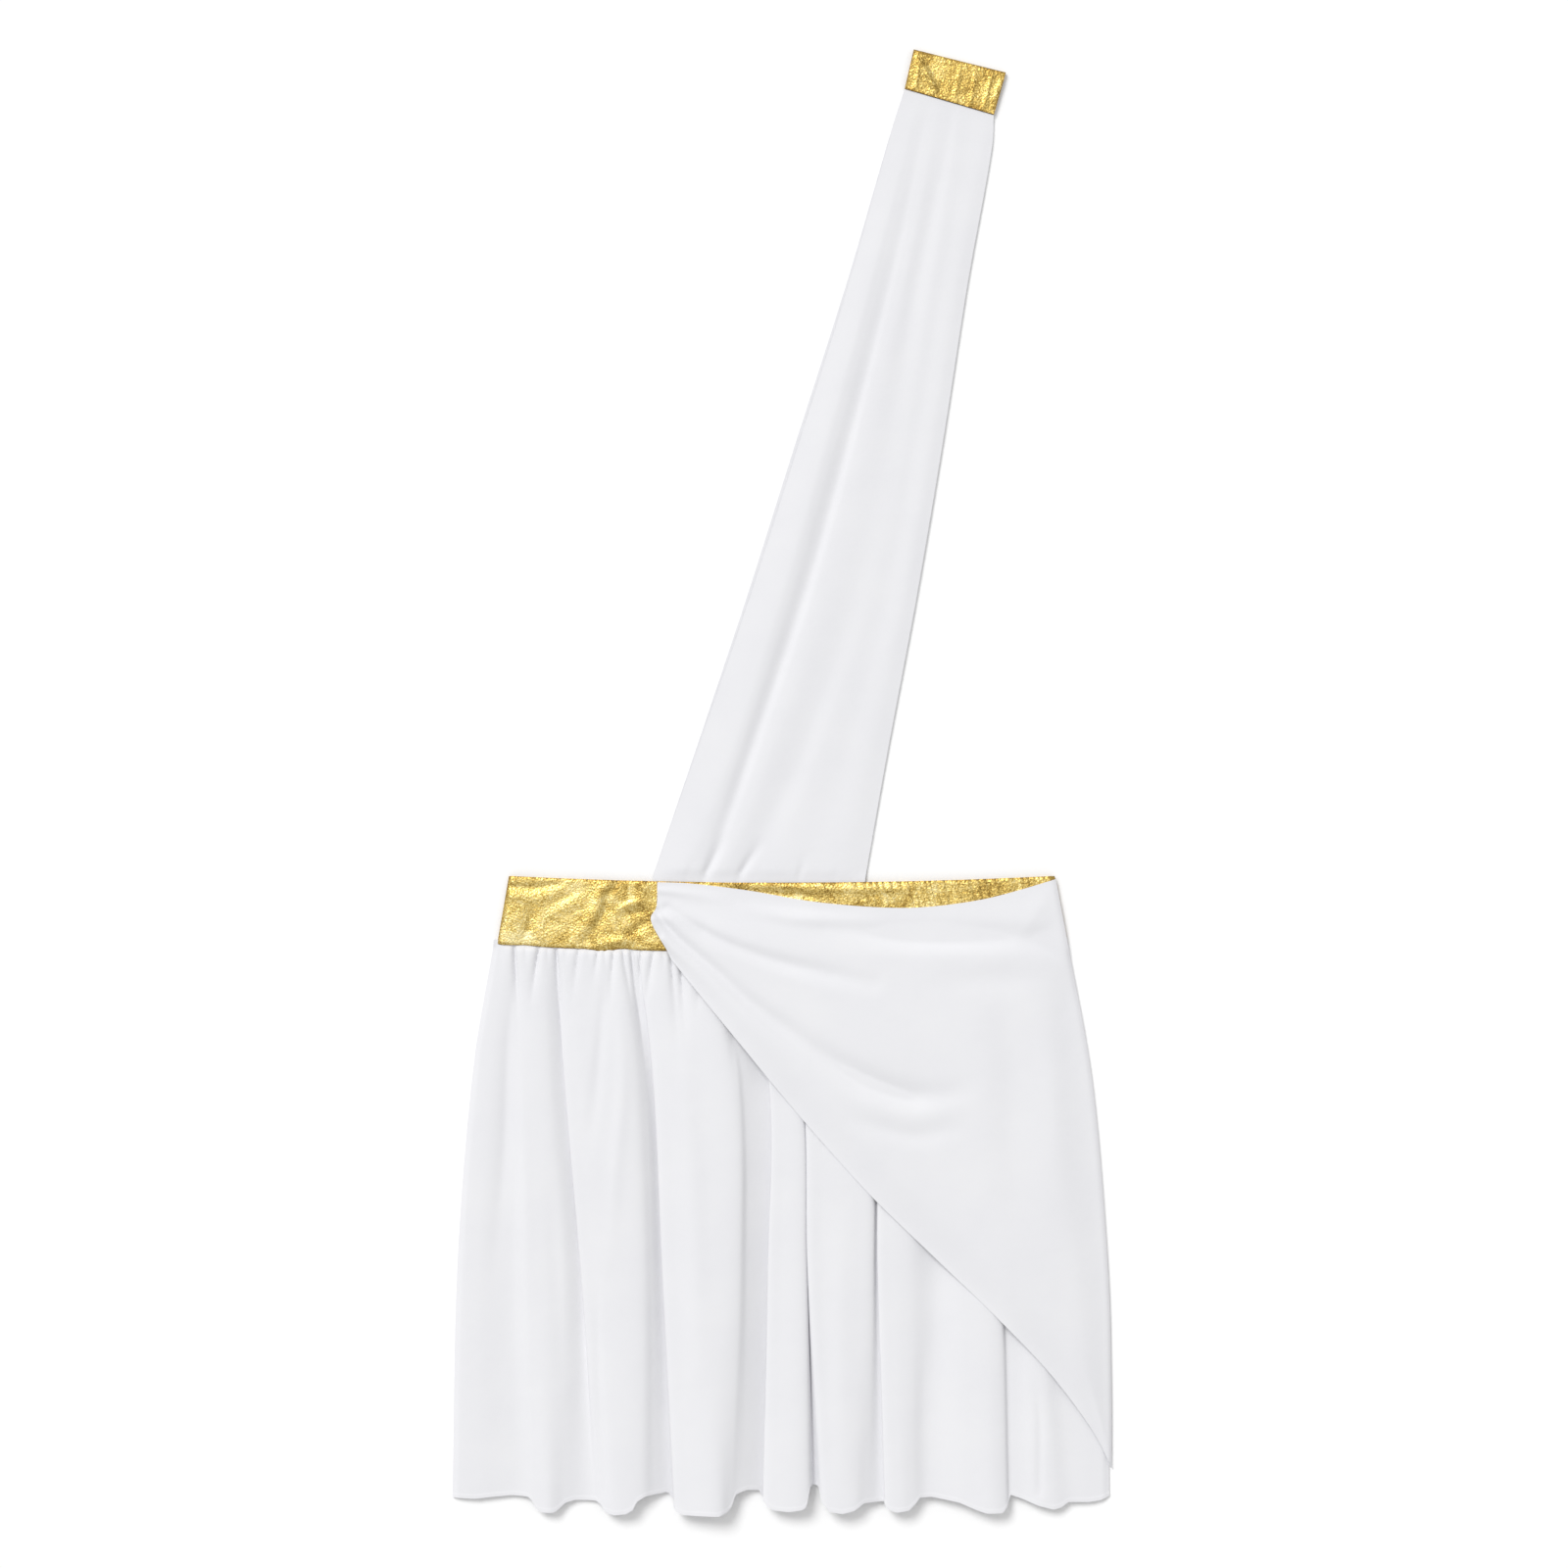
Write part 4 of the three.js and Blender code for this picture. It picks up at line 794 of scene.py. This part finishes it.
def make_shoulder_band(material):
    back_middle = SHOULDER_THICK / 2
    leg_end = 1 - SHOULDER_TURN_RADIUS / BAND_HEIGHT
    legs = leg_end * np.linspace(0, 1, SHOULDER_LEG_STEPS, endpoint=False)
    angles = np.linspace(0, math.pi, SHOULDER_TURN_STEPS + 1)
    reach = np.concatenate([legs, np.full(len(angles), leg_end), legs[::-1]])
    out = np.concatenate([0 * legs, SHOULDER_TURN_RADIUS * np.sin(angles), 0 * legs])
    turn_z = back_middle + SHOULDER_TURN_RADIUS * (1 - np.cos(angles))
    z = np.concatenate([0 * legs + back_middle, turn_z, 0 * legs + turn_z[-1]])
    across = np.linspace(0, 1, SHOULDER_COLUMNS + 1)[None, :, None]
    edge = lerp(np.array(SHOULDER_EDGE_RIGHT), np.array(SHOULDER_EDGE_LEFT), across)
    fold = lerp(np.array(SHOULDER_FOLD_RIGHT), np.array(SHOULDER_FOLD_LEFT), across)
    direction = (fold - edge) / np.linalg.norm(fold - edge, axis=2, keepdims=True)
    place = lerp(edge, fold, reach[:, None, None]) + direction * out[:, None, None]
    x, y = place[:, :, 0], place[:, :, 1]
    on_front = smooth(z, back_middle + SHOULDER_TURN_RADIUS, turn_z[-1])[:, None]
    crumpled = crumple(x, y, SHOULDER_CRUMPLE_PITCH, SHOULDER_CRUMPLE_SEED)
    relief = crease_lift(SHOULDER_CREASES, x, y) + SHOULDER_CRUMPLE_HEIGHT * crumpled
    height = z[:, None] + on_front * np.maximum(relief, 0)
    middle = np.stack([x, y, height], axis=2)
    width = np.linalg.norm(np.array(SHOULDER_EDGE_RIGHT) - np.array(SHOULDER_EDGE_LEFT))
    from_side = width * np.minimum(across, 1 - across)[:, :, 0]
    from_hem = reach[:, None] * np.linalg.norm(fold - edge, axis=2)
    from_fold = (1 - reach[:, None]) * np.linalg.norm(fold - edge, axis=2)
    # painted shade along the shoulder band's borders, plus a small even darkening over all of it
    painted_edge_shade = np.maximum(border_shade_share(np.minimum(np.minimum(from_side, from_fold), from_hem)), SHOULDER_LEAST_DARKENING)
    piece = shell("shoulder_band_foil", middle, SHOULDER_THICK, material, painted_edge_shade)
    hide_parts("shoulder_band")


def widened(cells, reach, combine):
    """Each cell combined with those up to reach cells away, along both axes."""
    for axis in (0, 1):
        stacked = [np.roll(cells, step, axis=axis) for step in range(-reach, reach + 1)]
        cells = combine(np.stack(stacked), axis=0)
    return cells


def relief_of(surfaces, spread, blur):
    """Function for the softened height of the highest cloth near a place."""
    left, right, bottom, top = RELIEF_LIMITS
    columns = int((right - left) / RELIEF_CELL)
    rows = int((top - bottom) / RELIEF_CELL)
    cells = np.zeros((rows, columns))
    for surface in surfaces:
        for shift in RELIEF_SHIFTS:
            between = lerp(surface[:-1], surface[1:], shift)
            c = ((between[:, :, 0] - left) / RELIEF_CELL).astype(int)
            r = ((between[:, :, 1] - bottom) / RELIEF_CELL).astype(int)
            np.maximum.at(cells, (r, c), between[:, :, 2])
    highest = widened(cells, spread, np.max)
    soft = widened(widened(highest, blur, np.mean), 1, np.mean)

    def height_at(x, y):
        u = (x - left) / RELIEF_CELL - 0.5
        v = (y - bottom) / RELIEF_CELL - 0.5
        c = np.clip(np.floor(u).astype(int), 0, columns - 2)
        r = np.clip(np.floor(v).astype(int), 0, rows - 2)
        near = lerp(soft[r, c], soft[r, c + 1], u - c)
        far = lerp(soft[r + 1, c], soft[r + 1, c + 1], u - c)
        return lerp(near, far, v - r)

    return height_at


def make_drape(material, surfaces):
    tops = [surface + normals_of(surface) * CLOTH_THICK / 2 for surface in surfaces]
    height_at = relief_of(tops, RELIEF_SPREAD, RELIEF_BLUR)
    side_height_at = relief_of(tops, RELIEF_SIDE_SPREAD, RELIEF_SIDE_BLUR)
    down_shares = np.linspace(0, 1, DRAPE_ROWS + 1)
    across_shares = np.linspace(0, 1, DRAPE_COLUMNS + 1) ** DRAPE_COLUMN_POWER
    down, across = np.meshgrid(down_shares, across_shares, indexing="ij")
    down, across = down[:, :, None], across[:, :, None]
    upper = curve_evenly(DRAPE_UPPER_EDGE, across_shares)[None, :, :]
    lower = curve_evenly(DRAPE_LOWER_EDGE, across_shares)[None, :, :]
    tuck = curve_evenly(DRAPE_TUCK_EDGE, down_shares)[:, None, :]
    side = curve_evenly(DRAPE_SIDE_EDGE, down_shares)[:, None, :]
    corners_above = lerp(np.array(DRAPE_UPPER_EDGE[0]), np.array(DRAPE_UPPER_EDGE[-1]), across)
    corners_below = lerp(np.array(DRAPE_LOWER_EDGE[0]), np.array(DRAPE_LOWER_EDGE[-1]), across)
    corners = lerp(corners_above, corners_below, down)
    place = lerp(upper, lower, down) + lerp(tuck, side, across) - corners
    x, y = place[:, :, 0], place[:, :, 1]
    from_upper = np.linalg.norm(place - upper, axis=2)
    from_lower = np.linalg.norm(place - lower, axis=2)
    from_side = np.linalg.norm(place - side, axis=2)
    from_edge = np.minimum(np.minimum(from_upper, from_lower), from_side + GAP)
    puff = DRAPE_PUFF * smooth(from_edge, 0, DRAPE_PUFF_EDGE)
    crease_share = smooth(from_edge, -GAP, DRAPE_CREASE_EDGE)
    folds = np.maximum(0, puff + crease_share * crease_lift(DRAPE_CREASES, x, y))
    under = lerp(side_height_at(x, y), height_at(x, y), smooth(from_side, 0, DRAPE_SIDE_REACH))
    lying = under + LAYER_GAP + CLOTH_THICK / 2 + folds
    beside_band = smooth(y, DRAPE_BAND_START_Y, DRAPE_BAND_FULL_Y)
    side_middle = lerp(DRAPE_SIDE_MIDDLE, BAND_SIDE_MIDDLE + DRAPE_OVER_BAND, beside_band)
    z = lerp(side_middle, lying, quarter_turn(from_side, DRAPE_SIDE_TURN))
    middle = np.stack([x, y, z], axis=2)
    past_hem = smooth(from_lower, ROLL_HEM, ROLL_HEM + ROLL_HEM_STEP)
    thick = CLOTH_THICK * (1 + HEM_ROLL_THICKENING * (1 - past_hem))
    piece = shell("drape_cloth", middle, thick, material)
    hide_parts("drape")


class Nodes:
    """Short calls for building one material's node tree."""

    def __init__(self, material):
        material.use_nodes = True
        self.tree = material.node_tree
        self.surface = self.tree.nodes["Principled BSDF"]
        self.place = self.add("ShaderNodeTexCoord").outputs["Object"]

    def add(self, kind, **settings):
        node = self.tree.nodes.new(kind)
        for name, value in settings.items():
            setattr(node, name, value)
        return node

    def link(self, output, target):
        self.tree.links.new(output, target)

    def noise(self, scale, detail=3.0, roughness=0.5, distortion=0.0):
        node = self.add("ShaderNodeTexNoise")
        node.inputs["Scale"].default_value = scale
        node.inputs["Detail"].default_value = detail
        node.inputs["Roughness"].default_value = roughness
        node.inputs["Distortion"].default_value = distortion
        self.link(self.place, node.inputs["Vector"])
        return node.outputs["Fac"]

    def cells(self, scale, feature):
        node = self.add("ShaderNodeTexVoronoi", feature=feature)
        node.inputs["Scale"].default_value = scale
        self.link(self.place, node.inputs["Vector"])
        return node.outputs["Distance"]

    def waves(self, scale, direction, distortion=0.4, detail=1.0):
        node = self.add("ShaderNodeTexWave", wave_type="BANDS", bands_direction=direction)
        node.inputs["Scale"].default_value = scale
        node.inputs["Distortion"].default_value = distortion
        node.inputs["Detail"].default_value = detail
        self.link(self.place, node.inputs["Vector"])
        return node.outputs["Fac"]

    def attribute(self, name):
        return self.add("ShaderNodeAttribute", attribute_name=name).outputs["Fac"]

    def rise_along_x(self, start, end):
        """From 0 at one X to 1 at another, in metres."""
        apart = self.add("ShaderNodeSeparateXYZ")
        self.link(self.place, apart.inputs["Vector"])
        node = self.add("ShaderNodeMapRange", interpolation_type="SMOOTHSTEP")
        node.inputs["From Min"].default_value = start
        node.inputs["From Max"].default_value = end
        self.link(apart.outputs["X"], node.inputs["Value"])
        return node.outputs["Result"]

    def combine(self, operation, first, second):
        node = self.add("ShaderNodeMath", operation=operation)
        for socket, value in zip(node.inputs, (first, second)):
            if isinstance(value, (int, float)):
                socket.default_value = value
            else:
                self.link(value, socket)
        return node.outputs["Value"]

    def ramp(self, factor, stops):
        node = self.add("ShaderNodeValToRGB")
        elements = node.color_ramp.elements
        while len(elements) < len(stops):
            elements.new(0.5)
        for element, (position, color) in zip(elements, stops):
            element.position = position
            element.color = (*color, 1)
        self.link(factor, node.inputs["Fac"])
        return node.outputs["Color"]

    def bump(self, height, strength, distance, before=None):
        node = self.add("ShaderNodeBump")
        node.inputs["Strength"].default_value = strength
        node.inputs["Distance"].default_value = distance
        self.link(height, node.inputs["Height"])
        if before is not None:
            self.link(before, node.inputs["Normal"])
        return node.outputs["Normal"]


def white_cloth():
    """Smooth polyester knit: fine courses and wales, a soft sheen, slightly uneven tone."""
    material = bpy.data.materials.new("white_cloth")
    nodes = Nodes(material)
    surface = nodes.surface
    surface.inputs["Roughness"].default_value = 0.78
    surface.inputs["Specular IOR Level"].default_value = 0.3
    surface.inputs["Sheen Weight"].default_value = 0.12
    surface.inputs["Sheen Roughness"].default_value = 0.45
    patches = nodes.noise(scale=22, detail=3)
    tone = nodes.ramp(patches, ((0.3, (0.77, 0.77, 0.794)), (0.7, (0.79, 0.79, 0.809))))
    nodes.link(tone, surface.inputs["Base Color"])
    wales = nodes.waves(scale=620, direction="X")
    courses = nodes.waves(scale=460, direction="Y")
    knit = nodes.combine("MULTIPLY", wales, courses)
    fine = nodes.bump(knit, strength=0.25, distance=0.00012)
    soft = nodes.bump(nodes.noise(scale=55, detail=4), strength=0.3, distance=0.0009, before=fine)
    nodes.link(soft, surface.inputs["Normal"])
    return material


def gold_foil():
    """Stretch knit with a crackled foil coat: bright metal, fine grain and dull cracks, with painted
    reflection patches, painted shade along the borders and painted shade from X -0.16 m on.
    """
    material = bpy.data.materials.new("gold_foil")
    nodes = Nodes(material)
    surface = nodes.surface
    surface.inputs["Metallic"].default_value = 0.95
    grain = nodes.noise(scale=900, detail=2, roughness=0.65)
    # broad light and dark patches of tone: painted reflections standing in for the light caught by the
    # foil's wrinkles
    painted_reflection_patches = nodes.noise(scale=48, detail=4, roughness=0.6, distortion=1.2)
    fine_share = nodes.combine("MULTIPLY", grain, 0.56)
    reflection_share = nodes.combine("MULTIPLY", painted_reflection_patches, 0.44)
    mixed = nodes.combine("ADD", fine_share, reflection_share)
    # painted shade along the foil's borders, read from the mesh attribute
    painted_edge_shade = nodes.combine("MULTIPLY", nodes.attribute("painted_edge_shade"), 0.13)
    # painted shade: the foil darker from X -0.16 m and fully past -0.11 m, standing in for light falling
    # off across the band
    painted_side_shade = nodes.combine("MULTIPLY", nodes.rise_along_x(start=-0.16, end=-0.11), 0.045)
    shade = nodes.combine("SUBTRACT", nodes.combine("SUBTRACT", mixed, painted_edge_shade), painted_side_shade)
    # tone from dark brown cracks up to bright gold; the brightest end carries the painted reflections
    tone = nodes.ramp(shade, (
        (0.355, (0.36, 0.22, 0.05)), (0.425, (0.66, 0.46, 0.12)), (0.495, (0.88, 0.67, 0.23)),
        (0.59, (1.0, 0.86, 0.45)),
    ))
    nodes.link(tone, surface.inputs["Base Color"])
    rough = nodes.combine("ADD", nodes.combine("MULTIPLY", grain, 0.2), 0.32)
    nodes.link(rough, surface.inputs["Roughness"])
    cracks = nodes.cells(scale=640, feature="F1")
    specks = nodes.noise(scale=1100, detail=2, roughness=0.6)
    waviness = nodes.noise(scale=70, detail=3, roughness=0.5, distortion=0.8)
    crackle = nodes.bump(cracks, strength=0.5, distance=0.0006)
    grained = nodes.bump(specks, strength=0.3, distance=0.0003, before=crackle)
    wrinkled = nodes.bump(waviness, strength=0.35, distance=0.0022, before=grained)
    nodes.link(wrinkled, surface.inputs["Normal"])
    return material


def floor_paint():
    material = bpy.data.materials.new("pale_floor")
    nodes = Nodes(material)
    nodes.surface.inputs["Roughness"].default_value = 0.9
    nodes.surface.inputs["Specular IOR Level"].default_value = 0.1
    patches = nodes.noise(scale=3, detail=2)
    tone = nodes.ramp(patches, ((0.3, (0.965, 0.965, 0.965)), (0.7, (0.97, 0.97, 0.97))))
    nodes.link(tone, nodes.surface.inputs["Base Color"])
    return material


def make_floor():
    mesh = bpy.data.meshes.new("floor")
    signs = ((-1, -1), (1, -1), (1, 1), (-1, 1))
    corners = [(FLOOR_HALF * i, FLOOR_HALF * j, FLOOR_HEIGHT) for i, j in signs]
    mesh.from_pydata(corners, [], [tuple(range(len(corners)))])
    mesh.materials.append(floor_paint())
    floor = bpy.data.objects.new("floor", mesh)
    bpy.context.collection.objects.link(floor)


def aim(light, place):
    """Stand a lamp at a place, turned to the middle of the costume."""
    light.location = place
    light.rotation_euler = (-Vector(place)).to_track_quat("-Z", "Y").to_euler()
    bpy.context.collection.objects.link(light)


def make_light():
    world = bpy.data.worlds.new("studio")
    world.use_nodes = True
    background = world.node_tree.nodes["Background"]
    background.inputs["Color"].default_value = (1, 1, 1, 1)
    background.inputs["Strength"].default_value = WORLD_STRENGTH
    bpy.context.scene.world = world
    key = bpy.data.lights.new("key", "SUN")
    key.energy = KEY_STRENGTH
    key.angle = math.radians(KEY_SPREAD)
    aim(bpy.data.objects.new("key", key), KEY_PLACE)
    top = bpy.data.lights.new("top", "AREA")
    top.shape = "SQUARE"
    top.size = TOP_SIZE
    top.energy = TOP_POWER
    aim(bpy.data.objects.new("top", top), TOP_PLACE)


def make_camera():
    data = bpy.data.cameras.new("camera")
    data.sensor_width = SENSOR_WIDTH
    data.lens = SENSOR_WIDTH * CAMERA_HEIGHT / VIEW_WIDTH
    data.clip_end = CLIP_END
    camera = bpy.data.objects.new("camera", data)
    camera.location = (CAMERA_X, CAMERA_Y, CAMERA_HEIGHT)
    bpy.context.collection.objects.link(camera)
    bpy.context.scene.camera = camera


def make_costume():
    cloth = white_cloth()
    foil = gold_foil()
    make_skirt_back(cloth)
    front = make_skirt_front(cloth)
    make_waistband_back(foil)
    band = make_waistband_front(foil)
    make_strap_back(cloth)
    make_strap_front(cloth)
    make_shoulder_band(foil)
    make_drape(cloth, [front, band])


make_camera()
make_light()
make_floor()
make_costume()
bpy.context.scene.view_settings.view_transform = "Standard"
